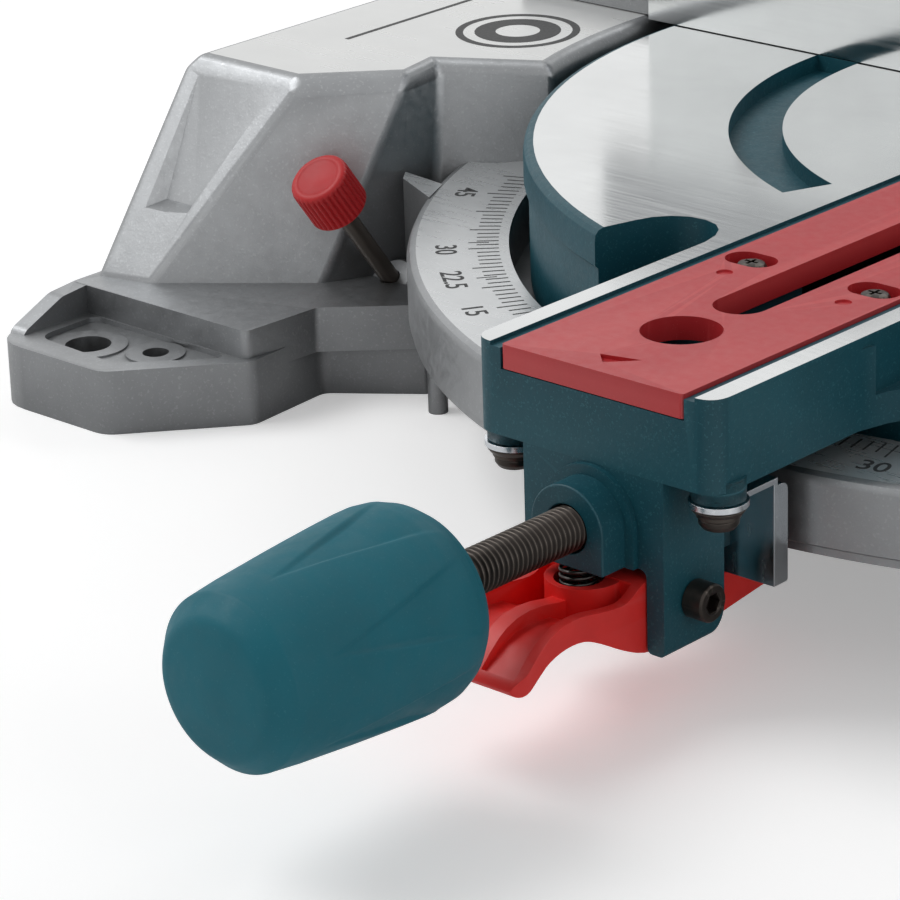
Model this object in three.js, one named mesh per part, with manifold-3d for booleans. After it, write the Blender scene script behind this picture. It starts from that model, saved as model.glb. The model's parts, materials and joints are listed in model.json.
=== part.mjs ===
// A sliding compound mitre saw for a 255 mm blade, in millimetres, +Z up.
// X = 0 is the plane of the blade, and the bench is at Z = 0. While it is being built, Y = 0 is the
// front face of the fence, which holds the table's axis; at the end it moves to the middle of the depth.
// The head is modelled raised, and slid back, as it stands when nobody holds it.

import * as THREE from 'three';
import { mergeVertices } from 'three/addons/utils/BufferGeometryUtils.js';
import Module from 'manifold-3d';

const wasm = await Module();
wasm.setup();

// Clearances
const seat = 0.3;            // between pieces that touch
const running = 0.4;         // between pieces that slide or turn on each other
const through = 1;           // how far a cutting tool runs past what it cuts

// Sides on round pieces, from the widest rings to the smallest holes
const fineSides = 48;
const wideSides = 28;
const roundSides = 20;
const smallSides = 12;
const holeSides = 8;
const hexSides = 6;
const guardSteps = 18;

// Base casting
const tableTop = 90;
const halfWidth = 284;
const wingSide = 282;
const wingRear = 85;
const wingBevel = 4;
const wingWall = 6;
const wingInnerRadius = 190.5;
const plateauTop = 29;
const lugTop = 20;
const lugFront = 200;
const rearLugEnd = 160;
const plateauFront = 166;
const lugRim = 6;
const benchHole = 14;
const benchScrewHole = 8;
const webTop = 44;
const webThickness = 5;
const hubRadius = 22;
const hubBottom = 26;
const hubBolt = 6;
const hubBoltHead = 11;
const hubBoltTop = 64;

// Mitre scale ring
const scaleDrop = 30;
const ringInner = 187.7;
const ringOuter = 217.3;
const ringBevel = 3;
const ringHeight = 21.5;
const legRadius = 3;
const legPlace = [-171, -124];

// Turntable
const discRadius = 183;
const discBevel = 3;
const discDepth = 40;
const discPlate = 10;
const discSkirt = 7;
const armHalfWidth = 38.7;
const armReach = 252;
const armDepth = 24.5;
const armCorner = 5;
const notchRadius = 26;
const notchDepth = 16;
const grooveInner = 108.5;
const grooveOuter = 124;
const grooveDepth = 5;

// Kerf plate
const kerfHalfWidth = 29;
const kerfThickness = 6.4;
const kerfRear = 95;
const kerfSlot = 14.8;
const kerfSlotFront = 193;
const kerfHole = 21;
const kerfHoleAt = 217;
const kerfScrewX = 20;
const kerfScrewRows = [-163.8, 72];
const kerfScrewHead = 4.1;
const kerfScrewShank = 2;
const kerfRecess = 3.4;
const channelHalfWidth = 14;
const channelDepth = 21;

// Mitre lock under the arm's nose
const lockDrop = 38.9;
const lockRodRadius = 6;
const blockHalfWidth = 22.5;
const blockDepth = 26;
const blockDrop = 49;
const earThickness = 5.5;
const earDepth = 23.5;
const earDrop = 71;
const bossRadius = 11.5;
const bossLength = 10;
const padRadius = 8;
const padLength = 12.5;
const handleLength = 74;
const handleGap = 58;
const handleRadius = 26;
const handleTip = 23.2;
const handleBore = 40;

// Detent lever and its spring plate
const leverHalfWidth = 16.5;
const leverPivotBack = 11.5;
const leverPivotDrop = 58.4;
const leverScrewRadius = 3;
const leverScrewHead = 5;
const leverBarrel = 7;
const leverCupRadius = 8.5;
const leverRib = 1.5;
const leverRim = 3;
const springRadius = 4.6;
const springWire = 1.1;
const springTurns = 4;
const plateGauge = 1.5;
const plateHalfWidth = 36;
const plateScrewX = 33;
const plateScrewBack = 8.5;
const plateScrewHead = 7;
const plateScrewRadius = 2.6;

// Extension lock thumbscrews
const thumbX = 207;
const thumbFoot = [-104.4, 28.6];
const thumbTilt = 53.2;
const thumbStem = 2.9;
const thumbKnob = 9.3;
const thumbKnobLength = 15;
const thumbReach = 51;

// Fence
const fenceEnd = 191;
const fenceGap = 38;
const fenceThickness = 9;
const fenceLeftHeight = 50;
const fenceRightHeight = 75;
const fenceFoot = 8;
const fenceFootEnd = 250;
const fenceFootDepth = 42;
const fenceSlope = 62;
const fenceSlopeFrom = 10;
const fenceBridge = [96, 112];
const fenceBridgeArm = 22;
const fenceBridgeFlare = 54;
const fenceBridgeBend = 70;
const slideFenceHeight = 34;
const slideFenceTongue = 6;
const slideFenceSlope = 60;
const slideFenceLap = 28;
const slideFenceTravel = 60;
const fenceClampX = -150;
const fenceClampDrop = 18;
const fenceBoltRadius = 3;

// Bevel joint behind the table
const trunnionRadius = 42;
const trunnionFront = 226;
const trunnionDepth = 20;
const rearArmHalfWidth = 40;
const bevelStud = 8;
const bevelColumnHalfWidth = 34;
const bevelColumnDepth = 34;
const bevelPlate = 16;

// Rails and their bearing housing
const railRadius = 14;
const railBore = 10.5;
const railX = 30;
const railHeight = 250;
const housingFront = 240;
const housingDepth = 60;
const housingHalfWidth = 50;
const housingHalfHeight = 24;
const slideTravel = 190;
const railTail = 12;
const carrierDepth = 40;
const carrierGap = 4;
const railBridgeCap = 6;

// Head
const pivotY = 205;
const pivotZ = 292;
const headLift = 45;
const pivotRadius = 17;
const pivotPin = 6;
const knuckleHalfWidth = 25.5;
const lugThickness = 12;
const lockPinRadius = 3.5;
const lockPinOffset = 11.8;

// Blade, spindle and gears
const bladeRadius = 127.5;
const bladeBack = 29;
const bladeDip = 8;
const bladeBody = 1.8;
const bladeKerf = 2.6;
const bladeTeeth = 48;
const toothDepth = 6;
const spindleRadius = 10;
const spindleNose = 8;
const flangeRadius = 20;
const flangeThickness = 6;
const boltHead = 12;
const gearModule = 1.5;
const gearTeeth = 40;
const pinionTeeth = 10;
const gearWidth = 10;
const gearStart = 29;
const motorTilt = 16;

// Guards
const guardInside = 10;
const guardWall = 2;
const guardRim = 133.5;
const upperGuardRim = 142;
const upperGuardWall = 2.5;
const snoutRadius = 22;
const lockButtonRadius = 5;
const lockButtonX = 34;
const guardHub = 30;

// Gear case, arm and motor
const caseStart = 16.5;
const caseEnd = 45;
const caseRadius = 37;
const caseWall = 4;
const motorRadius = 46;
const motorWall = 4;
const motorLength = 140;
const motorCapLength = 15;
const armatureShaft = 5;
const armatureRadius = 28;

// Handle and its controls
const handleBase = 147;
const loopFront = 70;
const loopRear = 50;
const loopHeight = 78;
const loopHalfWidth = 15;
const gripThickness = 22;
const loopPost = 22;
const loopFoot = 20;
const triggerHalfWidth = 6;
const triggerLength = 30;
const triggerDrop = 12;
const spoutRadius = 20;
const spoutWall = 2.5;
const spoutRise = 100;
const spoutLength = 66;

const rad = (degrees) => (degrees * Math.PI) / 180;

// Turns a closed geometry into a solid that can be joined and cut, with its faces pointing out.
function solid(geometry) {
  const bare = geometry.clone();
  bare.deleteAttribute('normal');
  bare.deleteAttribute('uv');
  const merged = mergeVertices(bare, 1e-4);
  const index = merged.index.array;
  const place = (i) => new THREE.Vector3().fromBufferAttribute(merged.attributes.position, i);
  const faces = [];
  let volume = 0;
  for (let i = 0; i < index.length; i += 3) {
    const [a, b, c] = [index[i], index[i + 1], index[i + 2]];
    if (a !== b && b !== c && c !== a) {
      faces.push([a, b, c]);
      volume += place(a).dot(place(b).cross(place(c)));
    }
  }
  const corners = faces.flatMap(([a, b, c]) => (volume > 0 ? [a, b, c] : [a, c, b]));
  return new wasm.Manifold(new wasm.Mesh({
    numProp: 3,
    vertProperties: Float32Array.from(merged.attributes.position.array),
    triVerts: Uint32Array.from(corners),
  }));
}

// Gives the solid back as a geometry.
function geometryOf(body) {
  const mesh = body.getMesh();
  const geometry = new THREE.BufferGeometry();
  geometry.setAttribute('position', new THREE.BufferAttribute(Float32Array.from(mesh.vertProperties), 3));
  geometry.setIndex(new THREE.BufferAttribute(Uint32Array.from(mesh.triVerts), 1));
  geometry.computeVertexNormals();
  return geometry;
}

const join = (...bodies) => bodies.reduce((sum, body) => sum.add(body));
const cut = (body, ...tools) => tools.reduce((left, tool) => left.subtract(tool), body);

// A shape drawn in the plane across an axis runs along it. Across X the plane is (Y, Z), across Y it is
// (X, Z) and across Z it is (X, Y).
function alongAxis(geometry, axis) {
  if (axis === 'x') {
    geometry.applyMatrix4(new THREE.Matrix4().makeBasis(
      new THREE.Vector3(0, 1, 0), new THREE.Vector3(0, 0, 1), new THREE.Vector3(1, 0, 0)));
  }
  if (axis === 'y') {
    geometry.rotateX(Math.PI / 2);
  }
  return geometry;
}

const span = (axis, from, to) => (axis === 'y' ? [-to, -from] : [from, to]);

function box(x0, x1, y0, y1, z0, z1) {
  const geometry = new THREE.BoxGeometry(x1 - x0, y1 - y0, z1 - z0);
  geometry.translate((x0 + x1) / 2, (y0 + y1) / 2, (z0 + z1) / 2);
  return solid(geometry);
}

function cylinder(axis, radius, from, to, u = 0, v = 0, sides = roundSides) {
  const [low, high] = span(axis, from, to);
  const geometry = new THREE.CylinderGeometry(radius, radius, high - low, sides);
  geometry.rotateX(Math.PI / 2);
  geometry.translate(u, v, (low + high) / 2);
  return solid(alongAxis(geometry, axis));
}

// An outline of [u, v] points, with optional holes, run from one place on the axis to another.
function prism(axis, outline, from, to, holes = []) {
  const shape = new THREE.Shape(outline.map(([u, v]) => new THREE.Vector2(u, v)));
  for (const hole of holes) {
    shape.holes.push(new THREE.Path(hole.map(([u, v]) => new THREE.Vector2(u, v))));
  }
  const [low, high] = span(axis, from, to);
  const geometry = new THREE.ExtrudeGeometry(shape, { depth: high - low, bevelEnabled: false });
  geometry.translate(0, 0, low);
  return solid(alongAxis(geometry, axis));
}

// A profile of [radius, place on the axis] points, closed on itself, turned about the axis.
function turned(axis, profile, u = 0, v = 0, sides = wideSides) {
  const flip = axis === 'y' ? -1 : 1;
  const points = [...profile, profile[0]].map(([r, a]) => new THREE.Vector2(r, a * flip));
  const geometry = new THREE.LatheGeometry(points, sides);
  geometry.rotateX(Math.PI / 2);
  geometry.translate(u, v, 0);
  return solid(alongAxis(geometry, axis));
}

// Outlines with as many corners each, one above the other.
function loft(levels) {
  const count = levels[0].outline.length;
  const places = levels.flatMap(({ z, outline }) => outline.flatMap(([x, y]) => [x, y, z]));
  const corners = [];
  const flat = (level) => THREE.ShapeUtils.triangulateShape(
    level.outline.map(([x, y]) => new THREE.Vector2(x, y)), []);
  for (const [a, b, c] of flat(levels[0])) {
    corners.push(a, c, b);
  }
  const top = (levels.length - 1) * count;
  for (const [a, b, c] of flat(levels[levels.length - 1])) {
    corners.push(top + a, top + b, top + c);
  }
  for (let level = 0; level + 1 < levels.length; level += 1) {
    for (let i = 0; i < count; i += 1) {
      const next = (i + 1) % count;
      const low = level * count;
      const high = low + count;
      corners.push(low + i, low + next, high + next, low + i, high + next, high + i);
    }
  }
  const geometry = new THREE.BufferGeometry();
  geometry.setAttribute('position', new THREE.Float32BufferAttribute(places, 3));
  geometry.setIndex(corners);
  return solid(geometry);
}

// Points on an arc, with angles in degrees counted from the first axis of the plane.
function arc(radius, from, to, steps, u = 0, v = 0) {
  return Array.from({ length: steps + 1 }, (_, i) => {
    const angle = rad(from + ((to - from) * i) / steps);
    return [u + radius * Math.cos(angle), v + radius * Math.sin(angle)];
  });
}

// A sector between two radii, as an outline.
const sector = (inner, outer, from, to, steps, u = 0, v = 0) => [
  ...arc(outer, from, to, steps, u, v),
  ...arc(inner, to, from, steps, u, v),
];

const mirrored = (body) => body.mirror([1, 0, 0]);
const bothSides = (body) => join(body, mirrored(body));

// Materials
const paint = (color, roughness, metalness) => new THREE.MeshStandardMaterial({ color, roughness,
    metalness });
const castSilver = paint(0x9a9c9d, 0.5, 0.7);
const teal = paint(0x1f5360, 0.55, 0.1);
const red = paint(0xb8262c, 0.4, 0);
const blackSteel = paint(0x2b2724, 0.4, 0.8);
const zinc = paint(0xc9ccd0, 0.25, 1);
const steel = paint(0xb4b7ba, 0.3, 1);
const blackPlastic = paint(0x1b1c1e, 0.55, 0);
const tealRubber = paint(0x215e6d, 0.6, 0);
const copper = paint(0x8a4a2a, 0.4, 0.8);

const saw = new THREE.Group();

function add(name, body, material) {
  const mesh = new THREE.Mesh(geometryOf(body), material);
  mesh.name = name;
  saw.add(mesh);
}

// Base casting: two wings on sloping walls, lugs for the bench screws, the scale ring and its web.
// Outlines are of the left side, which the right side mirrors.
const wingArc = arc(wingInnerRadius, 180 + 17, 180 - Math.asin(wingRear / wingInnerRadius) / rad(1), 8);

function wingOutline(front, ridge, nose, neck, inset) {
  const rear = wingRear - inset;
  return [
    [-wingSide + inset, front[1]],
    ridge,
    nose,
    neck,
    ...wingArc.map(([x, y]) => [x - inset, Math.min(y, rear)]),
    [-wingSide + inset, rear],
  ];
}

function wing() {
  const skin = loft([
    { z: 0, outline: wingOutline([0, -163], [-266, -158], [-224, -128], [-205, -92], 0) },
    { z: plateauTop, outline: wingOutline([0, -158], [-263, -153], [-221, -120], [-205, -88], 0) },
    { z: tableTop - wingBevel, outline: wingOutline([0, -116], [-235, -115], [-211, -91], [-214, -73], 0) },
    { z: tableTop, outline: wingOutline([0, -112], [-237, -112], [-213, -88], [-216, -73], 3) },
  ]);
  const core = loft([
    { z: -through, outline: wingOutline([0, -152], [-263, -147], [-226, -120], [-210, -86], wingWall) },
    { z: plateauTop, outline: wingOutline([0, -148], [-261, -143], [-225, -112], [-211, -84], wingWall) },
    { z: tableTop - wingWall, outline: wingOutline([0, -108], [-237, -107], [-218, -86], [-221, -70],
        wingWall) },
  ]);
  return cut(skin, core);
}

function lug() {
  const foot = prism('z', [
    [-halfWidth, -lugFront + 6],
    [-halfWidth + 6, -lugFront],
    [-236, -lugFront],
    [-206.6, -plateauFront],
    [-209, -134],
    [-183, -115],
    [-190, -60],
    [-halfWidth, -60],
  ], 0, lugTop);
  const plateau = prism('z', [
    [-halfWidth, -plateauFront],
    [-208.7, -plateauFront],
    [-207, -138],
    [-184, -117],
    [-190, -60],
    [-halfWidth, -60],
  ], lugTop - through, plateauTop);
  const rim = prism('x', [
    [-lugFront + 6, lugTop - through],
    [-plateauFront + through, lugTop - through],
    [-plateauFront + through, plateauTop],
    [-lugFront + 8, lugTop + 1],
  ], -halfWidth, -halfWidth + lugRim);
  const pit = prism('z', [
    [-halfWidth + 2 * lugRim, -lugFront + 16],
    [-240, -lugFront + 16],
    [-220, -plateauFront + 4],
    [-220, -140],
    [-230, -130],
    [-halfWidth + 2 * lugRim, -130],
  ], -through, lugTop - lugRim);
  const bench = cylinder('z', benchHole / 2, -through, lugTop + through, -259, -183.5, smallSides);
  const screw = cylinder('z', benchScrewHole / 2, -through, lugTop + through, -237.5, -176, holeSides);
  const posts = join(
    cylinder('z', benchHole / 2 + 5, 0, lugTop, -259, -183.5, smallSides),
    cylinder('z', benchScrewHole / 2 + 5, 0, lugTop, -237.5, -176, holeSides),
  );
  return cut(join(cut(join(foot, plateau, rim), pit), posts), bench, screw);
}

function rearLug() {
  const foot = prism('z', [
    [-halfWidth, wingRear - 10],
    [-halfWidth, rearLugEnd - 8],
    [-halfWidth + 8, rearLugEnd],
    [-232, rearLugEnd],
    [-205, rearLugEnd - 34],
    [-186, wingRear - 10],
  ], 0, lugTop);
  const screw = cylinder('z', benchScrewHole / 2, -through, lugTop + through, -258, rearLugEnd - 24,
      holeSides);
  return cut(foot, screw);
}

// A round bar along the thumbscrew, between two distances from its foot.
function thumbBar(radius, from, to, sides) {
  const bar = cylinder('y', radius, -to, -from, 0, 0, sides);
  return bar.rotate([-thumbTilt, 0, 0]).translate([-thumbX, thumbFoot[0], thumbFoot[1]]);
}

const ringTop = tableTop - scaleDrop;
const ringBottom = ringTop - ringHeight;

function scaleRing() {
  const ring = turned('z', [
    [ringInner, ringTop],
    [ringOuter - ringBevel, ringTop],
    [ringOuter, ringTop - ringBevel],
    [ringOuter, ringBottom],
    [ringInner, ringBottom],
  ], 0, 0, fineSides);
  const web = cylinder('z', ringInner + 2, webTop - webThickness, webTop, 0, 0, fineSides);
  const hub = cylinder('z', hubRadius, hubBottom, webTop, 0, 0, roundSides);
  const shoulder = prism('z', [
    [-210, -93.7],
    [-192.5, -96],
    [-187, -108],
    [-206, -99],
  ], lugTop, ringTop);
  const leg = cylinder('z', legRadius, 0, webTop, legPlace[0], legPlace[1], holeSides);
  return join(ring, web, hub, bothSides(join(shoulder, leg)));
}

function baseCasting() {
  const boss = thumbBar(8, -16, 0, smallSides);
  const side = join(wing(), lug(), rearLug(), boss);
  const thumbHole = bothSides(thumbBar(thumbStem + seat, -12, 6, holeSides));
  const pivotHole = cylinder('z', hubBolt + running, hubBottom - through, webTop + through, 0, 0,
      smallSides);
  const well = cylinder('z', discRadius + 4, webTop, tableTop + through, 0, 0, fineSides);
  const boltHoles = fenceBoltPlaces.map(([x, y]) => cylinder('z', fenceBoltRadius + running,
    tableTop - 2 * wingWall, tableTop + through, x, y, holeSides));
  return cut(join(bothSides(side), scaleRing()), well, pivotHole, thumbHole, ...boltHoles);
}

// Turntable: the disc, its arm to the front with the nose block, and its rear arm with the trunnion.
const discBottom = tableTop - discDepth;
const armBottom = tableTop - armDepth;
const lockZ = tableTop - lockDrop;
const blockBottom = tableTop - blockDrop;
const blockRear = -armReach + blockDepth;
const leverPivotY = -armReach + leverPivotBack;
const leverPivotZ = tableTop - leverPivotDrop;
const plateScrewY = -armReach + plateScrewBack;
const plateTop = armBottom - 3.5;
const slotEnd = arc(kerfSlot / 2, 180, 360, 12, 0, -kerfSlotFront);

function discBody() {
  const shell = turned('z', [
    [0, tableTop],
    [discRadius - discBevel, tableTop],
    [discRadius, tableTop - discBevel],
    [discRadius, discBottom],
    [discRadius - discSkirt, discBottom],
    [discRadius - discSkirt, tableTop - discPlate],
    [0, tableTop - discPlate],
  ], 0, 0, fineSides);
  const hub = cylinder('z', hubRadius, webTop + running, tableTop - discPlate + through, 0, 0, roundSides);
  return join(shell, hub);
}

function armBody() {
  const side = armHalfWidth;
  const plan = prism('z', [
    [-side + armCorner, -armReach],
    [side - armCorner, -armReach],
    [side, -armReach + armCorner],
    [side, -150],
    [-side, -150],
    [-side, -armReach + armCorner],
  ], armBottom, tableTop);
  const flare = prism('z', [
    [side - through, -200],
    [side + 4, -184],
    [side + 14, -168],
    [side - through, -168],
  ], armBottom, tableTop - discBevel);
  const under = box(-side + discSkirt, side - discSkirt, blockRear, -120, armBottom - through,
      tableTop - channelDepth - 3);
  return cut(join(plan, bothSides(flare)), under);
}

function noseBlock() {
  const rear = blockRear;
  const block = box(-blockHalfWidth, blockHalfWidth, -armReach, rear, blockBottom - 2, armBottom + through);
  const bottom = tableTop - earDrop;
  const ear = prism('x', [
    [-armReach, blockBottom],
    [-armReach, bottom + 3],
    [-armReach + 3, bottom],
    [-armReach + earDepth - 4, bottom],
    [-armReach + earDepth, bottom + 4],
    [-armReach + earDepth, blockBottom],
  ], blockHalfWidth - earThickness, blockHalfWidth);
  const collar = join(
    cylinder('y', bossRadius + 3, -armReach - 3, -armReach + through, 0, lockZ, roundSides),
    cylinder('y', bossRadius, -armReach - bossLength, -armReach + through, 0, lockZ, roundSides),
    box(-bossRadius, bossRadius, -armReach - bossLength, -armReach + through, blockBottom, lockZ),
  );
  const flat = box(-30, 30, -armReach - 20, -armReach + 4, blockBottom - 30, blockBottom);
  const screwPost = cylinder('z', plateScrewHead - 0.5, plateTop, armBottom + through, plateScrewX,
      plateScrewY, smallSides);
  return join(cut(join(block, collar), flat), bothSides(join(ear, screwPost)));
}

function rearArm() {
  const beam = box(-rearArmHalfWidth, rearArmHalfWidth, 150, trunnionFront + through, armBottom,
      tableTop - 2);
  const trunnion = cylinder('y', trunnionRadius, trunnionFront, trunnionFront + trunnionDepth, 0,
      tableTop, wideSides);
  const under = box(-rearArmHalfWidth + 8, rearArmHalfWidth - 8, 140, trunnionFront - 8,
      armBottom - through, tableTop - 12);
  return join(cut(beam, under), trunnion);
}

function tableCuts() {
  const halfBed = kerfHalfWidth + seat;
  const bed = box(-halfBed, halfBed, -armReach - through, kerfRear + seat,
    tableTop - kerfThickness - seat, tableTop + through);
  const channel = box(-channelHalfWidth, channelHalfWidth, -kerfHoleAt - 12, kerfRear - 5,
    tableTop - channelDepth, tableTop);
  const bolt = cylinder('z', hubBolt + running, webTop - through, hubBoltTop + 2, 0, 0, smallSides);
  const rod = cylinder('y', lockRodRadius + running, -armReach - 20, blockRear + through, 0, lockZ,
      smallSides);
  const padBore = cylinder('y', padRadius + running, blockRear - 10, blockRear + through, 0, lockZ,
      smallSides);
  const pivot = cylinder('x', leverScrewRadius + seat, -40, 40, leverPivotY, leverPivotZ, smallSides);
  const notch = prism('z', [
    ...arc(discRadius + 6, 247.8, 255.5, 3),
    [-armHalfWidth, -armReach / 1.5],
    ...arc(notchRadius, 60, 150, 6, -61, -172),
  ], tableTop - notchDepth, tableTop + through);
  const groove = prism('z', sector(grooveInner, grooveOuter, 180, 247, 12), tableTop - grooveDepth,
      tableTop + through);
  const stud = cylinder('y', bevelStud + seat, trunnionFront - 20, trunnionFront + 30, 0, tableTop,
      smallSides);
  const screwHoles = kerfScrewRows.map((y) => bothSides(
    cylinder('z', kerfScrewShank + seat, tableTop - 18, tableTop, kerfScrewX, y, holeSides)));
  const plateHoles = bothSides(
    cylinder('z', plateScrewRadius + seat, plateTop - through, armBottom + 12, plateScrewX, plateScrewY,
        holeSides));
  return [bed, channel, bolt, rod, padBore, pivot, notch, mirrored(notch), groove, mirrored(groove), stud,
    ...screwHoles, plateHoles];
}

const turntable = () => cut(join(discBody(), armBody(), noseBlock(), rearArm()), ...tableCuts());

function pivotBolt() {
  const shank = cylinder('z', hubBolt, hubBottom - seat - through, hubBoltTop, 0, 0, smallSides);
  const head = cylinder('z', hubBoltHead, hubBottom - seat - 7, hubBottom - seat, 0, 0, hexSides);
  return join(shank, head);
}

// Red kerf plate, level with the table, and its screws.
function kerfPlate() {
  const top = tableTop;
  const bottom = tableTop - kerfThickness;
  const slot = [...slotEnd, [kerfSlot / 2, kerfRear - 12], [-kerfSlot / 2, kerfRear - 12]];
  const slab = prism('z', [
    [-kerfHalfWidth, -armReach],
    [kerfHalfWidth, -armReach],
    [kerfHalfWidth, kerfRear],
    [-kerfHalfWidth, kerfRear],
  ], bottom, top, [slot]);
  const hole = cylinder('z', kerfHole / 2, bottom - through, top + through, 0, -kerfHoleAt, roundSides);
  const recesses = kerfScrewRows.flatMap((y) => [-kerfScrewX, kerfScrewX].map((x) => join(
    prism('z', [...arc(5, -90, 90, 8, x + 2.5, y), ...arc(5, 90, 270, 8, x - 2.5, y)], top - kerfRecess,
        top + through),
    cylinder('z', kerfScrewShank + seat, bottom - through, top, x, y, holeSides),
  )));
  const arrow = prism('z', [[-6, -242], [-1, -247.6], [8, -238.5]], top - 0.6, top + through);
  return cut(slab, hole, arrow, ...recesses);
}

function kerfScrew(x, y) {
  const seatZ = tableTop - kerfRecess + seat;
  const head = cylinder('z', kerfScrewHead, seatZ, seatZ + 2.4, x, y, smallSides);
  const shank = cylinder('z', kerfScrewShank, tableTop - 17, seatZ + 0.5, x, y, holeSides);
  return join(head, shank);
}

// Mitre lock: the pad that presses on the ring, the threaded rod behind it, and the handle.
const padFront = -ringOuter - 0.5;
const padRear = padFront - padLength;
const handleRear = -armReach - handleGap;
const handleFront = handleRear - handleLength;

const lockPad = () => cylinder('y', padRadius, padRear, padFront, 0, lockZ, smallSides);
const lockRod = () => cylinder('y', lockRodRadius, handleRear - handleBore + seat, padRear - seat,
  0, lockZ, smallSides);

function lockHandle() {
  const back = handleRear;
  const front = handleFront;
  return turned('y', [
    [lockRodRadius + seat, back],
    [11.5, back],
    [19.5, back - 2.2],
    [24, back - 6],
    [handleRadius, back - 11],
    [handleRadius, back - 16],
    [handleTip, front + 10],
    [handleTip - 1, front + 5.5],
    [handleTip - 3.8, front + 2.5],
    [handleTip - 8, front + 0.6],
    [handleTip - 12.5, front],
    [0, front],
    [0, back - handleBore],
    [lockRodRadius + seat, back - handleBore],
  ], 0, lockZ, roundSides);
}

// Red detent lever between the ears, its screw and spring, and the zinc spring plate behind the block.
const leverCupY = leverPivotY - 17;

function detentLever() {
  const y = leverPivotY;
  const z = leverPivotZ;
  const blade = prism('x', [
    [y + 2, z + 6],
    [y - 13, z + 6],
    [y - 24, z + 3.4],
    [y - 37, z + 4.2],
    [y - 44, z + 3.8],
    [y - 51, z + 1.8],
    [y - 59, z - 3.6],
    [y - 58.5, z - 8],
    [y - 55, z - 8.2],
    [y - 46.5, z - 1.8],
    [y - 34, z - 1.4],
    [y - 28.5, z - 4.4],
    [y - 12, z - 12.6],
    [y + 8, z - 13],
    [y + 44, z - 9],
    [y + 44, z - 3],
    [y + 12, z - 1],
  ], -leverHalfWidth, leverHalfWidth);
  const barrel = cylinder('x', leverBarrel, -leverHalfWidth, leverHalfWidth, y, z, smallSides);
  const cup = cylinder('z', leverCupRadius, z - 6, z + 7, 0, leverCupY, smallSides);
  const noseTop = ringBottom - 0.6;
  const nose = box(-7, 7, y + 29, y + 40, z - 8, noseTop);
  const groove = prism('x', [
    [y - 27, z + 7],
    [y - 27, z + 1.5],
    [y - 44, z + 1],
    [y - 50, z - 1],
    [y - 56.5, z - 5.4],
    [y - 56.5, z + 7],
  ], leverRib, leverHalfWidth - leverRim);
  const spring = cylinder('z', springRadius + springWire + seat, z - 1, z + 10, 0, leverCupY, smallSides);
  const screw = cylinder('x', leverScrewRadius + seat, -40, 40, y, z, smallSides);
  return cut(join(cut(blade, bothSides(groove)), barrel, cup, nose), spring, screw);
}

function leverScrew() {
  const face = blockHalfWidth + seat;
  const shank = cylinder('x', leverScrewRadius, -face - 4, face + through, leverPivotY, leverPivotZ,
      smallSides);
  const head = cylinder('x', leverScrewHead, face, face + 6, leverPivotY, leverPivotZ, smallSides);
  const socket = cylinder('x', 2.9, face + 3, face + 7, leverPivotY, leverPivotZ, hexSides);
  return cut(join(shank, head), socket);
}

// The least distance between the points of a tube that are more than half a turn of eight steps apart.
function leastGap(places, sides) {
  const points = Array.from({ length: places.length / 3 }, (_,
      i) => new THREE.Vector3().fromArray(places, 3 * i));
  let least = Infinity;
  for (let i = 0; i < points.length; i += 1) {
    for (let j = i + 5 * sides; j < points.length; j += 1) {
      least = Math.min(least, points[i].distanceTo(points[j]));
    }
  }
  return least;
}

// A round wire wound about Z, made as one tube of five sides.
function coil(radius, wire, from, to, turns, x, y) {
  const steps = turns * 8;
  const places = [];
  const corners = [];
  for (let i = 0; i <= steps; i += 1) {
    const angle = (i * Math.PI) / 4;
    const height = from + wire + ((to - from - 2 * wire) * i) / steps;
    for (let side = 0; side < 5; side += 1) {
      const around = (side * 2 * Math.PI) / 5;
      const out = radius + wire * Math.cos(around);
      places.push(x + out * Math.cos(angle), y + out * Math.sin(angle), height + wire * Math.sin(around));
    }
  }
  for (let i = 0; i < steps; i += 1) {
    for (let side = 0; side < 5; side += 1) {
      const a = i * 5 + side;
      const b = i * 5 + ((side + 1) % 5);
      corners.push(a, a + 5, b + 5, a, b + 5, b);
    }
  }
  const last = steps * 5;
  for (let side = 1; side < 4; side += 1) {
    corners.push(0, side, side + 1, last, last + side + 1, last + side);
  }
  console.log(`spring: least gap to itself ${leastGap(places, 5).toFixed(2)} mm`);
  const geometry = new THREE.BufferGeometry();
  geometry.setAttribute('position', new THREE.Float32BufferAttribute(places, 3));
  geometry.setIndex(corners);
  return solid(geometry);
}

const leverSpring = () => coil(springRadius, springWire / 2, leverPivotZ - 1 + seat, blockBottom - seat,
  springTurns, 0, leverCupY);

function springPlate() {
  const front = blockRear + seat;
  const top = plateTop - seat;
  const bottom = tableTop - 57;
  const panel = box(-plateHalfWidth, plateHalfWidth, front, front + plateGauge, bottom, top);
  const hole = cylinder('y', padRadius + 2, front - through, front + 3, 0, lockZ, smallSides);
  const leverGap = box(-leverHalfWidth - 1, leverHalfWidth + 1, front - through, front + 3,
      bottom - through, 38);
  const flange = join(
    cylinder('z', plateScrewHead + 0.5, top - plateGauge, top, plateScrewX, plateScrewY, smallSides),
    box(plateScrewX - plateScrewHead, plateHalfWidth, plateScrewY, front + plateGauge, top - plateGauge,
        top),
  );
  const wing = box(plateHalfWidth - plateGauge, plateHalfWidth, front, front + 5.5, bottom, top - 4);
  const screwHole = cylinder('z', plateScrewRadius + seat, top - 4, top + through, plateScrewX,
      plateScrewY, holeSides);
  return cut(join(panel, bothSides(cut(join(flange, wing), screwHole))), hole, leverGap);
}

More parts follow.
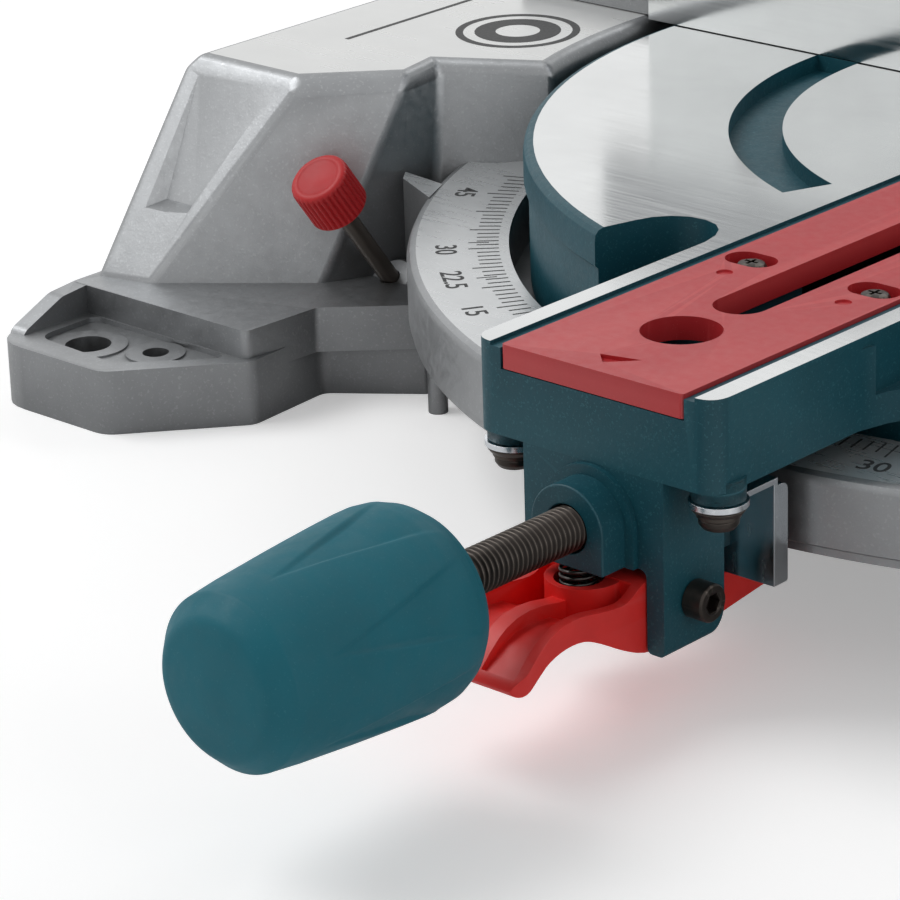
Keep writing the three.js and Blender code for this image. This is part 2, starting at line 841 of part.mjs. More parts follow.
function plateScrew(x) {
  const under = plateTop - seat - plateGauge - seat;
  const washer = cylinder('z', plateScrewHead, under - 1.2, under, x, plateScrewY, smallSides);
  const head = cylinder('z', plateScrewHead - 2.2, under - 6, under - 1, x, plateScrewY, smallSides);
  const shank = cylinder('z', plateScrewRadius, under - 1, armBottom + 10, x, plateScrewY, holeSides);
  return join(washer, head, shank);
}

// Pointer beside the arm, at the zero of the scale.
function mitrePointer() {
  const top = armBottom - seat;
  return prism('z', [
    [-32, -186],
    [-32, -198],
    [-56.5, -198],
    [-58.5, -194],
  ], top - 2, top);
}

// Extension lock thumbscrews.
function thumbStemBody() {
  return thumbBar(thumbStem, -10, thumbReach - thumbKnobLength + 10, holeSides);
}

function thumbKnobBody() {
  const start = thumbReach - thumbKnobLength;
  const knob = thumbBar(thumbKnob, start, thumbReach, roundSides);
  return cut(knob, thumbBar(thumbStem + seat, start - through, start + 10 + seat, holeSides));
}

// Fence: left and right faces joined by a bridge behind the blade, and a sliding upper fence on the left.
const fenceZ = tableTop + seat;
const fenceLeftTop = tableTop + fenceLeftHeight;
const fenceRightTop = tableTop + fenceRightHeight;
const fenceClampZ = fenceLeftTop - fenceClampDrop;
const fenceBoltPlaces = [[-fenceFootEnd + 16, 26], [fenceFootEnd - 16, 26]];

function fenceHalf(height, side) {
  const from = side > 0 ? fenceGap : -fenceEnd;
  const to = side > 0 ? fenceEnd : -fenceGap;
  const face = box(from, to, 0, fenceThickness, fenceZ, height);
  const slope = prism('y', [
    [-fenceGap + through, fenceZ + fenceSlopeFrom],
    [-fenceGap, fenceZ + fenceSlopeFrom],
    [-fenceGap - fenceSlope, height],
    [-fenceGap - fenceSlope, height + through],
    [-fenceGap + through, height + through],
  ], -through, fenceThickness + through);
  const ledge = box(from, to, 0, fenceThickness + 12, fenceZ, fenceZ + fenceFoot);
  const outer = side * fenceFootEnd;
  const inner = side * (fenceEnd - 24);
  const foot = box(Math.min(inner, outer), Math.max(inner, outer), 4, fenceFootDepth, fenceZ,
      fenceZ + fenceFoot);
  const rib = prism('x', [
    [fenceThickness - through, fenceZ],
    [fenceFootDepth - 6, fenceZ],
    [fenceThickness - through, height - slideFenceLap - 4],
  ], side * (fenceEnd - 14) - 4, side * (fenceEnd - 14) + 4);
  const link = fenceLink(side);
  return join(side > 0 ? face : cut(face, slope), ledge, foot, rib, link);
}

// Half of the bridge that joins the fence's faces. It keeps clear of the blade with the table at 45 degrees.
function fenceLink(side) {
  const [start, end] = fenceBridge;
  const wide = fenceGap + fenceBridgeFlare;
  return prism('z', [
    [side * (fenceGap + fenceBridgeArm), fenceThickness],
    [side * fenceGap, fenceThickness],
    [side * wide, fenceBridgeBend],
    [side * wide, start],
    [side * -through, start],
    [side * -through, end],
    [side * (wide + fenceBridgeArm), end],
    [side * (wide + fenceBridgeArm), fenceBridgeBend],
  ], fenceZ, fenceZ + fenceFoot);
}

function fence() {
  const bolts = fenceBoltPlaces.map(([x, y]) => cylinder('z', fenceBoltRadius + running,
    fenceZ - through, fenceZ + 20, x, y, holeSides));
  const clamp = cylinder('y', 3.3, -through, 30, fenceClampX, fenceClampZ, holeSides);
  const clampHead = cylinder('y', 6.4, -through, fenceThickness / 2, fenceClampX, fenceClampZ, smallSides);
  return cut(join(fenceHalf(fenceLeftTop, -1), fenceHalf(fenceRightTop, 1)), ...bolts, clamp, clampHead);
}

function fenceBolt([x, y]) {
  const z = fenceZ + fenceFoot + seat;
  const head = cylinder('z', 5, z, z + 6, x, y, smallSides);
  const shank = cylinder('z', fenceBoltRadius, tableTop - wingWall + 1, z + through, x, y, holeSides);
  const socket = cylinder('z', 2.9, z + 3, z + 7, x, y, hexSides);
  return cut(join(head, shank), socket);
}

function slideFence() {
  const bottom = fenceLeftTop + seat;
  const top = bottom + slideFenceHeight;
  const left = -fenceEnd - 20;
  const right = -fenceGap - 10;
  const face = prism('y', [
    [left, bottom],
    [right, bottom],
    [right - slideFenceSlope, top],
    [left, top],
  ], 0, fenceThickness);
  const back = fenceThickness + seat;
  const behind = (low, from, to) => prism('y', [
    [left + 20, low],
    [right - 20, low],
    [right - 20, bottom],
    [right - slideFenceSlope, top - 6],
    [left + 20, top - 6],
  ], from, to);
  const tongue = behind(fenceLeftTop - slideFenceLap, back, back + slideFenceTongue);
  const neck = behind(bottom, fenceThickness - through, back + through);
  const slot = box(fenceClampX - 3.6, fenceClampX + slideFenceTravel + 3.6, back - through, back + 10,
    fenceClampZ - 3.4, fenceClampZ + 3.4);
  return cut(join(face, neck, tongue), slot);
}

const fenceKnobAt = fenceThickness + seat + slideFenceTongue + seat;

// The clamp screw of the sliding fence: its head sits in the fence and its knob bears on the tongue.
function fenceClampScrew() {
  const head = cylinder('y', 6, 0.6, fenceThickness / 2 - seat, fenceClampX, fenceClampZ, smallSides);
  return join(head, cylinder('y', 3, 1, fenceKnobAt + 12, fenceClampX, fenceClampZ, holeSides));
}

function fenceClampKnob() {
  const knob = cylinder('y', 11, fenceKnobAt, fenceKnobAt + 14, fenceClampX, fenceClampZ, holeSides);
  return cut(knob, cylinder('y', 3.3, fenceKnobAt - through, fenceKnobAt + 12.3, fenceClampX,
      fenceClampZ, holeSides));
}

// Bevel arm behind the table. It tilts about the table-top line and holds the rails.
const bevelFront = trunnionFront + trunnionDepth + running;
const housingRear = housingFront + housingDepth;
const bevelRear = bevelFront + bevelColumnDepth;
const railEnd = housingRear + slideTravel + railTail;

function bevelArm() {
  const disc = cylinder('y', trunnionRadius, bevelFront, bevelFront + bevelPlate, 0, tableTop, wideSides);
  const w = bevelColumnHalfWidth;
  const column = prism('y', [
    [-w, tableTop],
    [w, tableTop],
    [housingHalfWidth - 6, railHeight - housingHalfHeight + 2],
    [-housingHalfWidth + 6, railHeight - housingHalfHeight + 2],
  ], bevelFront, bevelRear);
  const hollow = prism('y', [
    [-w + 8, tableTop + 22],
    [w - 8, tableTop + 22],
    [housingHalfWidth - 14, railHeight - housingHalfHeight - 8],
    [-housingHalfWidth + 14, railHeight - housingHalfHeight - 8],
  ], bevelFront + 10, bevelRear + through);
  const housing = box(-housingHalfWidth, housingHalfWidth, housingFront, housingRear,
    railHeight - housingHalfHeight, railHeight + housingHalfHeight);
  const bores = [-railX, railX].map((x) => cylinder('y', railRadius + running, housingFront - through,
    housingRear + through, x, railHeight, roundSides));
  const studHole = cylinder('y', bevelStud + seat, bevelFront - through, bevelRear + through, 0,
      tableTop, smallSides);
  const lock = cylinder('x', 4.3, railX, housingHalfWidth + through, (housingFront + housingRear) / 2,
      railHeight, holeSides);
  const collar = cylinder('y', bevelStud + 16, bevelFront, bevelRear, 0, tableTop, roundSides);
  return cut(join(cut(join(disc, column), hollow), housing, collar), ...bores, studHole, lock);
}

function bevelStudBody() {
  return cylinder('y', bevelStud, trunnionFront - 18, bevelRear + 16, 0, tableTop, smallSides);
}

function bevelLever() {
  const y = bevelRear + running;
  const hub = cylinder('y', 15, y, y + 20, 0, tableTop, smallSides);
  const bar = prism('y', [
    [8, tableTop + 10],
    [14, tableTop - 2],
    [78, tableTop + 18],
    [74, tableTop + 30],
  ], y + 10, y + 20);
  return cut(join(hub, bar), cylinder('y', bevelStud + seat, y - through, y + 16, 0, tableTop, smallSides));
}

// Rails, the carrier at their front that holds the head's pivot, and the bridge at their tail.
const carrierRear = housingFront - carrierGap;
const carrierFront = carrierRear - carrierDepth;
const railSocket = carrierFront + 12;

function rail(x) {
  const tube = [
    [railBore, railSocket + seat],
    [railRadius, railSocket + seat],
    [railRadius, railEnd],
    [railBore, railEnd],
  ];
  return turned('y', tube, x, railHeight, roundSides);
}

function carrier() {
  const body = box(-housingHalfWidth, housingHalfWidth, carrierFront, carrierRear,
    railHeight - housingHalfHeight + 2, railHeight + housingHalfHeight - 4);
  const inside = knuckleHalfWidth + running;
  const cheek = join(
    cylinder('x', pivotRadius, inside, inside + lugThickness, pivotY, pivotZ, roundSides),
    prism('x', [
      [pivotY - pivotRadius, railHeight],
      [pivotY + pivotRadius, railHeight],
      [pivotY + pivotRadius, pivotZ],
      [pivotY - pivotRadius, pivotZ],
    ], inside, inside + lugThickness),
  );
  const sockets = [-railX, railX].map((x) => cylinder('y', railRadius + seat, railSocket,
      carrierRear + through,
    x, railHeight, roundSides));
  const pin = cylinder('x', pivotPin + seat, -60, 60, pivotY, pivotZ, smallSides);
  const lockHole = cylinder('x', lockPinRadius + seat, 0, 60, pivotY + lockPinOffset, pivotZ, holeSides);
  const swing = cylinder('x', pivotRadius + 3, -inside, inside, pivotY, pivotZ, roundSides);
  return cut(join(body, bothSides(cheek)), ...sockets, pin, lockHole, swing);
}

function railBridge() {
  const plate = prism('y', [
    [-railX - 20, railHeight - 17],
    [railX + 20, railHeight - 17],
    [railX + 20, railHeight + 17],
    [-railX - 20, railHeight + 17],
  ], railEnd - 10, railEnd + railBridgeCap);
  const sockets = [-railX, railX].map((x) => cylinder('y', railRadius + seat, railEnd - 10 - through,
      railEnd + seat,
    x, railHeight, roundSides));
  return cut(plate, ...sockets);
}

function slideKnob() {
  const y = (housingFront + housingRear) / 2;
  const stem = cylinder('x', 4, railX + railRadius + 3, housingHalfWidth + 6, y, railHeight, holeSides);
  const knob = cylinder('x', 15, housingHalfWidth + 5, housingHalfWidth + 20, y, railHeight, holeSides);
  return join(stem, knob);
}

function chopPin() {
  const reach = knuckleHalfWidth + running + lugThickness;
  return join(
    cylinder('x', pivotPin, -reach - 3, reach + 3, pivotY, pivotZ, smallSides),
    cylinder('x', pivotPin + 1.5, reach + seat, reach + 4, pivotY, pivotZ, smallSides),
    cylinder('x', pivotPin + 1.5, -reach - 4, -reach - seat, pivotY, pivotZ, smallSides),
  );
}

function headLockPin() {
  const reach = knuckleHalfWidth + running + lugThickness;
  const y = pivotY + lockPinOffset;
  return join(
    cylinder('x', lockPinRadius, knuckleHalfWidth + 2, reach + 16, y, pivotZ, holeSides),
    cylinder('x', 6, reach + 14, reach + 24, y, pivotZ, holeSides),
  );
}

// The head turns about the pivot. Places on it are worked out lowered, where the blade dips into the
// table, and then raised by the head's lift.
function raised([y, z]) {
  const angle = rad(-headLift);
  const [dy, dz] = [y - pivotY, z - pivotZ];
  return [
    pivotY + dy * Math.cos(angle) - dz * Math.sin(angle),
    pivotZ + dy * Math.sin(angle) + dz * Math.cos(angle),
  ];
}

const [bladeY, bladeZ] = raised([bladeBack, tableTop + bladeRadius - bladeDip]);
const gearCentres = (gearModule * (gearTeeth + pinionTeeth)) / 2;
const motorY = bladeY + gearCentres * Math.cos(rad(motorTilt));
const motorZ = bladeZ + gearCentres * Math.sin(rad(motorTilt));
const caseFace = caseEnd + seat;
const brushX = caseFace + 115;

// A wheel with straight-sided teeth, the first of them at an angle.
function toothedOutline(teeth, first, y, z) {
  const pitch = (gearModule * teeth) / 2;
  const turn = 360 / teeth;
  const half = (width, radius) => (width / 2 / radius) / rad(1);
  const tip = pitch + 1.2;
  const root = pitch - 1.8;
  return Array.from({ length: teeth }, (_, i) => first + i * turn).flatMap((angle) => [
    [root, angle - half(2.9, root)],
    [tip, angle - half(1.1, tip)],
    [tip, angle + half(1.1, tip)],
    [root, angle + half(2.9, root)],
  ]).map(([radius, angle]) => [y + radius * Math.cos(rad(angle)), z + radius * Math.sin(rad(angle))]);
}

function spindle() {
  const wheel = prism('x', toothedOutline(gearTeeth, motorTilt, bladeY, bladeZ), gearStart,
      gearStart + gearWidth);
  const shaft = cylinder('x', spindleRadius, flangeThickness + 2, caseEnd - seat, bladeY, bladeZ,
      smallSides);
  const nose = cylinder('x', spindleNose, -flangeThickness - 1, flangeThickness + 3, bladeY, bladeZ,
      smallSides);
  return join(wheel, shaft, nose);
}

function armature() {
  const half = 180 / pinionTeeth;
  const pinion = prism('x', toothedOutline(pinionTeeth, 180 + motorTilt + half, motorY, motorZ),
    gearStart - 1, gearStart + gearWidth + 1);
  const shaft = cylinder('x', armatureShaft, gearStart, caseFace + motorLength + 6, motorY, motorZ,
      smallSides);
  const fan = cylinder('x', 34, caseFace + 12, caseFace + 22, motorY, motorZ, smallSides);
  const core = cylinder('x', armatureRadius, caseFace + 32, caseFace + 92, motorY, motorZ, smallSides);
  const commutator = cylinder('x', 13, caseFace + 104, caseFace + 126, motorY, motorZ, smallSides);
  return join(pinion, shaft, fan, core, commutator);
}

const innerFlange = () => cut(
  cylinder('x', flangeRadius, bladeKerf / 2 + seat, flangeThickness + bladeKerf / 2, bladeY, bladeZ,
      roundSides),
  cylinder('x', spindleNose + seat, 0, 20, bladeY, bladeZ, smallSides),
);
const outerFlange = () => cut(
  cylinder('x', flangeRadius, -flangeThickness - bladeKerf / 2, -bladeKerf / 2 - seat, bladeY, bladeZ,
      roundSides),
  cylinder('x', spindleNose + seat, -20, 0, bladeY, bladeZ, smallSides),
);

function arborBolt() {
  const face = -flangeThickness - bladeKerf / 2 - seat;
  const head = cylinder('x', boltHead, face - 5, face, bladeY, bladeZ, smallSides);
  const socket = cylinder('x', 3.5, face - 6, face - 2, bladeY, bladeZ, hexSides);
  return cut(head, socket);
}

function blade() {
  const outline = Array.from({ length: bladeTeeth }, (_, i) => (-i * 360) / bladeTeeth).flatMap((angle) => [
    [bladeRadius, angle],
    [bladeRadius - toothDepth, angle - 0.6],
    [bladeRadius - toothDepth, angle - 3.2],
    [bladeRadius - 1.6, angle - 5.9],
  ]).map(([radius, angle]) => [bladeY + radius * Math.cos(rad(angle)),
      bladeZ + radius * Math.sin(rad(angle))]);
  const bore = arc(spindleNose + seat, 0, 342, 19, bladeY, bladeZ);
  return prism('x', outline, -bladeBody / 2, bladeBody / 2, [bore]);
}

// Head casting: the knuckle at the pivot, the arm beside the blade, the gear case and the handle's post.
function headCasting() {
  const [dy, dz] = [bladeY - pivotY, bladeZ - pivotZ];
  const length = Math.hypot(dy, dz);
  const along = (distance, side) => [
    pivotY + (dy * distance - dz * side) / length,
    pivotZ + (dz * distance + dy * side) / length,
  ];
  const knuckle = cylinder('x', pivotRadius, -knuckleHalfWidth, knuckleHalfWidth, pivotY, pivotZ,
      roundSides);
  const half = pivotRadius - 3;
  const neck = prism('x', [along(2, half), along(44, half), along(44, -half), along(2, -half)],
    -knuckleHalfWidth, knuckleHalfWidth);
  const beam = prism('x', [
    along(34, half),
    along(length, caseRadius - 5),
    along(length, 5 - caseRadius),
    along(34, -half),
  ], caseStart, caseEnd - 7);
  const gearCase = cylinder('x', caseRadius, caseStart, caseEnd, bladeY, bladeZ, wideSides);
  const motorSeat = cylinder('x', motorRadius, caseEnd - 6, caseEnd, motorY, motorZ, wideSides);
  const motorNeck = cylinder('x', 22, caseStart, caseEnd, motorY, motorZ, roundSides);
  const post = box(caseStart, caseEnd - 7, bladeY - 18, bladeY + loopPost, bladeZ,
      bladeZ + handleBase - seat);
  const snout = cylinder('x', snoutRadius, flangeThickness + 2, caseStart + through, bladeY, bladeZ,
      roundSides);
  const gearRoom = cylinder('x', caseRadius - caseWall, caseStart + caseWall, caseEnd + through, bladeY,
      bladeZ, wideSides);
  const pinionRoom = cylinder('x', 12, caseStart + 8, caseEnd + through, motorY, motorZ, smallSides);
  const bore = cylinder('x', spindleRadius + running, 0, caseEnd, bladeY, bladeZ, smallSides);
  const pin = cylinder('x', pivotPin + seat, -60, 60, pivotY, pivotZ, smallSides);
  const lockHoles = [0, -headLift].map((angle) => cylinder('x', lockPinRadius + seat, 5, 60,
    pivotY + lockPinOffset * Math.cos(rad(angle)), pivotZ + lockPinOffset * Math.sin(rad(angle)),
        holeSides));
  const button = cylinder('y', lockButtonRadius + seat, bladeY - caseRadius - 6,
      bladeY - caseRadius + caseWall + 2,
    lockButtonX, bladeZ, holeSides);
  return cut(join(knuckle, neck, beam, gearCase, motorSeat, motorNeck, post, snout),
    gearRoom, pinionRoom, bore, pin, ...lockHoles, button);
}

const spindleButton = () => cylinder('y', lockButtonRadius, bladeY - caseRadius - 9,
    bladeY - caseRadius + caseWall - 0.6,
  lockButtonX, bladeZ, holeSides);

function motorHousing() {
  const end = caseFace + motorLength;
  const wall = join(
    cylinder('x', motorRadius, caseFace, end, motorY, motorZ, wideSides),
    cylinder('x', caseRadius, caseFace, caseFace + 5, bladeY, bladeZ, wideSides),
  );
  const room = cylinder('x', motorRadius - motorWall, caseFace + 5, end + through, motorY, motorZ,
      wideSides);
  const shaft = cylinder('x', armatureShaft + running, caseFace - through, caseFace + 6, motorY, motorZ,
      smallSides);
  const vents = [-50, -25, 0, 25, 50].map((angle) => box(caseFace + 10, caseFace + 26, -2.5, 2.5, 0,
      motorRadius + 4)
    .rotate([angle + 180, 0, 0]).translate([0, motorY, motorZ]));
  const brushHoles = [90, 270].map((angle) => cylinder('z', 6.4, motorRadius - 12, motorRadius + 2,
      brushX, 0, holeSides)
    .rotate([angle - 90, 0, 0]).translate([0, motorY, motorZ]));
  return cut(wall, room, shaft, ...vents, ...brushHoles);
}

function brushCap(angle) {
  return join(
    cylinder('z', 6, motorRadius - 9, motorRadius + 0.5, brushX, 0, holeSides),
    cylinder('z', 8.5, motorRadius + 0.3, motorRadius + 3, brushX, 0, smallSides),
  ).rotate([angle - 90, 0, 0]).translate([0, motorY, motorZ]);
}

function stator() {
  const from = caseFace + 32;
  return prism('x', arc(motorRadius - motorWall - seat, 0, 350, 35, motorY, motorZ), from, from + 60,
    [arc(armatureRadius + 1.5, 0, 345, 23, motorY, motorZ)]);
}

function motorCap() {
  const start = caseFace + motorLength + seat;
  const cap = cylinder('x', motorRadius, start, start + motorCapLength - 4, motorY, motorZ, wideSides);
  const dome = cylinder('x', motorRadius - 8, start + 4, start + motorCapLength, motorY, motorZ, wideSides);
  const seatHole = cylinder('x', armatureShaft + running, start - through, start + 8, motorY, motorZ,
      smallSides);
  const room = cylinder('x', motorRadius - 14, start - through, start + 3, motorY, motorZ, roundSides);
  const slots = [-24, -12, 0, 12, 24].map((z) => box(start, start + motorCapLength + through,
    motorY - 22, motorY - 10, motorZ + z - 2, motorZ + z + 2));
  const inlet = cylinder('x', 5, start - through, start + motorCapLength + through, motorY + 26, motorZ,
      holeSides);
  return cut(join(cap, dome), seatHole, room, ...slots, inlet);
}

// Guards round the blade. Angles are counted from +Y towards +Z at the blade's centre.
const upperGuardFrom = -59;
const upperGuardTo = 145;
const lowerGuardFrom = 141;
const lowerGuardTo = 303;

function upperGuard() {
  const half = guardInside + guardWall + 1.5;
  const at = (inner, outer) => sector(inner, outer, upperGuardFrom, upperGuardTo, guardSteps, bladeY,
      bladeZ);
  const outer = half + upperGuardWall;
  const rim = prism('x', at(upperGuardRim - 4, upperGuardRim), -outer, outer);
  const left = prism('x', at(50, upperGuardRim - 2), -outer, -half);
  const right = prism('x', at(guardHub + 4, upperGuardRim - 2), half, outer);
  const port = cylinder('y', guardInside + 2, bladeY + 60, bladeY + upperGuardRim, 0,
      bladeZ + spoutRise, smallSides);
  return cut(join(rim, left, right), port);
}

function dustSpout() {
  const start = bladeY + 88;
  const end = start + spoutLength;
  const z = bladeZ + spoutRise;
  const tube = turned('y', [
    [spoutRadius - spoutWall, start],
    [spoutRadius, start],
    [spoutRadius, end],
    [spoutRadius - spoutWall, end],
  ], 0, z, roundSides);
  return cut(tube, cylinder('x', upperGuardRim + seat, -40, 40, bladeY, bladeZ, fineSides));
}

function lowerGuard() {
  const half = guardInside + guardWall;
  const at = (inner, outer) => sector(inner, outer, lowerGuardFrom, lowerGuardTo, guardSteps, bladeY,
      bladeZ);
  const rim = prism('x', at(guardRim - 2.2, guardRim), -half, half);
  const left = prism('x', at(62, guardRim - through), -half, -guardInside);
  const right = prism('x', at(guardHub - 4, guardRim - through), guardInside, half);
  const hub = cylinder('x', guardHub, guardInside, half, bladeY, bladeZ, roundSides);
  return cut(join(rim, left, right, hub), cylinder('x', snoutRadius + running, 0, 20, bladeY, bladeZ,
      roundSides));
}

// Handle loop on the post, with its trigger and lock-off button.
const loopBottom = bladeZ + handleBase;
const loopTop = loopBottom + loopHeight;
const gripBottom = loopTop - gripThickness;
const loopFrontY = bladeY - loopFront;
const loopRearY = bladeY + loopRear;
const triggerY = loopFrontY + loopPost + 2;

function handleLoop() {
  const corner = 16;
  const outer = [
    [loopFrontY + corner, loopBottom],
    [loopRearY - corner, loopBottom],
    [loopRearY, loopBottom + corner],
    [loopRearY, loopTop - corner],
    [loopRearY - corner, loopTop],
    [loopFrontY + corner, loopTop],
    [loopFrontY, loopTop - corner],
    [loopFrontY, loopBottom + corner],
  ];
  const bend = 8;
  const [front, rear] = [loopFrontY + loopPost, loopRearY - loopPost];
  const inner = [
    [front + bend, loopBottom + loopFoot],
    [rear - bend, loopBottom + loopFoot],
    [rear, loopBottom + loopFoot + bend],
    [rear, gripBottom - bend / 2],
    [rear - bend / 2, gripBottom],
    [front, gripBottom],
    [front, loopBottom + loopFoot + bend],
  ];
  const loop = prism('x', outer, -loopHalfWidth, loopHalfWidth, [inner]);
  const foot = box(0, caseEnd - 7, bladeY - 18, bladeY + loopPost, loopBottom, loopBottom + loopFoot - 4);
  const pocket = box(-triggerHalfWidth - running, triggerHalfWidth + running, triggerY - running,
    triggerY + triggerLength + 1.5, gripBottom - through, gripBottom + gripThickness - 5);
  const button = cylinder('x', 5.4, -loopHalfWidth - through, -3, bladeY + 22, gripBottom + 11, holeSides);
  return cut(join(loop, foot), pocket, button);
}

function trigger() {
  const z = gripBottom;
  return prism('x', [
    [triggerY, z + 10],
    [triggerY, z - 4],
    [triggerY + 8, z - triggerDrop],
    [triggerY + triggerLength - 6, z - triggerDrop + 1],
    [triggerY + triggerLength, z - 3],
    [triggerY + triggerLength, z + 10],
  ], -triggerHalfWidth, triggerHalfWidth);
}

const lockOffButton = () => cylinder('x', 5, -loopHalfWidth - 3, -7, bladeY + 22, gripBottom + 11,
    holeSides);

// The pieces, from the base up
add('base_casting', baseCasting(), castSilver);
add('table_pivot_bolt', pivotBolt(), blackSteel);
add('turntable', turntable(), teal);
add('kerf_plate', kerfPlate(), red);
for (const [row, y] of kerfScrewRows.entries()) {
  add(`kerf_screw_${row + 1}_left`, kerfScrew(-kerfScrewX, y), blackSteel);
  add(`kerf_screw_${row + 1}_right`, kerfScrew(kerfScrewX, y), blackSteel);
}
add('mitre_pointer', mitrePointer(), red);
add('lock_pad', lockPad(), steel);
add('lock_rod', lockRod(), blackSteel);
add('lock_handle', lockHandle(), tealRubber);
add('detent_lever', detentLever(), red);
add('lever_screw', leverScrew(), blackSteel);
add('lever_spring', leverSpring(), zinc);
add('spring_plate', springPlate(), zinc);
add('plate_screw_left', plateScrew(-plateScrewX), blackSteel);
add('plate_screw_right', plateScrew(plateScrewX), blackSteel);
add('thumb_stem_left', thumbStemBody(), blackSteel);
add('thumb_knob_left', thumbKnobBody(), red);
add('thumb_stem_right', mirrored(thumbStemBody()), blackSteel);
add('thumb_knob_right', mirrored(thumbKnobBody()), red);
add('fence', fence(), castSilver);
add('fence_bolt_left', fenceBolt(fenceBoltPlaces[0]), blackSteel);
add('fence_bolt_right', fenceBolt(fenceBoltPlaces[1]), blackSteel);
add('slide_fence', slideFence(), castSilver);
add('fence_clamp_screw', fenceClampScrew(), blackSteel);
add('fence_clamp_knob', fenceClampKnob(), blackPlastic);
add('bevel_arm', bevelArm(), castSilver);
add('bevel_stud', bevelStudBody(), steel);
add('bevel_lever', bevelLever(), blackPlastic);
add('rail_left', rail(-railX), steel);
add('rail_right', rail(railX), steel);
add('rail_bridge', railBridge(), blackPlastic);
add('carrier', carrier(), castSilver);
add('slide_knob', slideKnob(), blackPlastic);
add('chop_pin', chopPin(), steel);
add('head_lock_pin', headLockPin(), blackSteel);
add('head_casting', headCasting(), teal);
add('spindle_button', spindleButton(), blackPlastic);
add('motor_housing', motorHousing(), blackPlastic);
add('motor_cap', motorCap(), blackPlastic);
add('brush_cap_top', brushCap(90), blackPlastic);
add('brush_cap_bottom', brushCap(270), blackPlastic);
add('stator', stator(), copper);
add('armature', armature(), steel);
add('spindle', spindle(), steel);
add('inner_flange', innerFlange(), steel);
add('blade', blade(), steel);
add('outer_flange', outerFlange(), steel);
add('arbor_bolt', arborBolt(), blackSteel);
add('upper_guard', upperGuard(), teal);
add('lower_guard', lowerGuard(), zinc);
add('dust_spout', dustSpout(), blackPlastic);
add('handle', handleLoop(), blackPlastic);
add('trigger', trigger(), red);
add('lock_off_button', lockOffButton(), red);

// The origin moves to the middle of the depth, on the bench.
saw.position.y = -(handleFront + railEnd + railBridgeCap) / 2;

export default saw;
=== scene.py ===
import json
import math

import bmesh
import bpy
from mathutils import Matrix, Vector

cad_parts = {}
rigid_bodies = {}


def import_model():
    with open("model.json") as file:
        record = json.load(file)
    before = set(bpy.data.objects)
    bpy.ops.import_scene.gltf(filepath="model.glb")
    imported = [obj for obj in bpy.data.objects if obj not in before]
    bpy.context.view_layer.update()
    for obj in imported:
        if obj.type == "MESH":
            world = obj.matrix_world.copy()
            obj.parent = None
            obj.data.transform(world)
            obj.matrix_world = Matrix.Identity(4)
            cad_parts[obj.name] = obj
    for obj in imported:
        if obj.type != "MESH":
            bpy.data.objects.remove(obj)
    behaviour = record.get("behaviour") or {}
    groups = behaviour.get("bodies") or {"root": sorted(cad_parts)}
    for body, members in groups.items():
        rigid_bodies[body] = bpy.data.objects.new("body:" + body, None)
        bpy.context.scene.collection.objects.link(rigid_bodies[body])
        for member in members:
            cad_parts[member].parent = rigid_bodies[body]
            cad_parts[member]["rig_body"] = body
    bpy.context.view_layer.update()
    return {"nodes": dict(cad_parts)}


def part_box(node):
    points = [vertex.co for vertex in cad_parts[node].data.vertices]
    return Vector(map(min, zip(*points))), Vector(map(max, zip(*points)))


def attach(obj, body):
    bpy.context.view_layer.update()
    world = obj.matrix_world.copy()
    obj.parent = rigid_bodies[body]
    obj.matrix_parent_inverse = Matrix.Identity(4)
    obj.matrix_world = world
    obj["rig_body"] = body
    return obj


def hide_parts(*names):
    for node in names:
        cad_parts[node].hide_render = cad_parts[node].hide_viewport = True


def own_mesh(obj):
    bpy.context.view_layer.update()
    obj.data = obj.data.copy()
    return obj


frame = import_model()

# Everything is written in millimetres, with Y = 0 on the fence's face, and made in metres.
SHIFT_Y = -62.0
TABLE_TOP = 90.0


def place(x, y, z):
    return Vector((x / 1000, (y + SHIFT_Y) / 1000, z / 1000))


def rad(degrees):
    return math.radians(degrees)


def span(node, axis):
    """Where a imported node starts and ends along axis 0, 1 or 2, in millimetres."""
    low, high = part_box(node)
    shift = SHIFT_Y if axis == 1 else 0
    return low[axis] * 1000 - shift, high[axis] * 1000 - shift


# Meshes
def link(name, mesh):
    obj = bpy.data.objects.new(name, mesh)
    bpy.context.scene.collection.objects.link(obj)
    return obj


def mesh_of(points, faces):
    mesh = bpy.data.meshes.new("solid")
    mesh.from_pydata([place(*p) for p in points], [], faces)
    mesh.validate()
    bm = bmesh.new()
    bm.from_mesh(mesh)
    bmesh.ops.remove_doubles(bm, verts=bm.verts, dist=1e-6)
    bmesh.ops.recalc_face_normals(bm, faces=bm.faces)
    bm.to_mesh(mesh)
    bm.free()
    return link("solid", mesh)


def strip_faces(rows, sides):
    """The faces of a tube of rows of points, with that many in each row."""
    faces = []
    for k in range(rows - 1):
        for i in range(sides):
            j = (i + 1) % sides
            faces.append((k * sides + i, k * sides + j, (k + 1) * sides + j, (k + 1) * sides + i))
    return faces


def turned_faces(sides, count, closed=True):
    """The faces between profiles of count points, set round an axis."""
    faces = []
    for i in range(sides):
        j = (i + 1) % sides
        for k in range(count if closed else count - 1):
            n = (k + 1) % count
            faces.append((i * count + k, j * count + k, j * count + n, i * count + n))
    return faces


def along(axis, u, v, a):
    """A point at u, v across an axis and a along it."""
    return {"x": (a, u, v), "y": (u, a, v), "z": (u, v, a)}[axis]


def turned(axis, profile, u=0, v=0, sides=96):
    """A profile of (radius, place on the axis) points turned about an axis through u, v."""
    points = []
    for i in range(sides):
        angle = 2 * math.pi * i / sides
        for r, a in profile:
            points.append(along(axis, u + r * math.cos(angle), v + r * math.sin(angle), a))
    return mesh_of(points, turned_faces(sides, len(profile)))


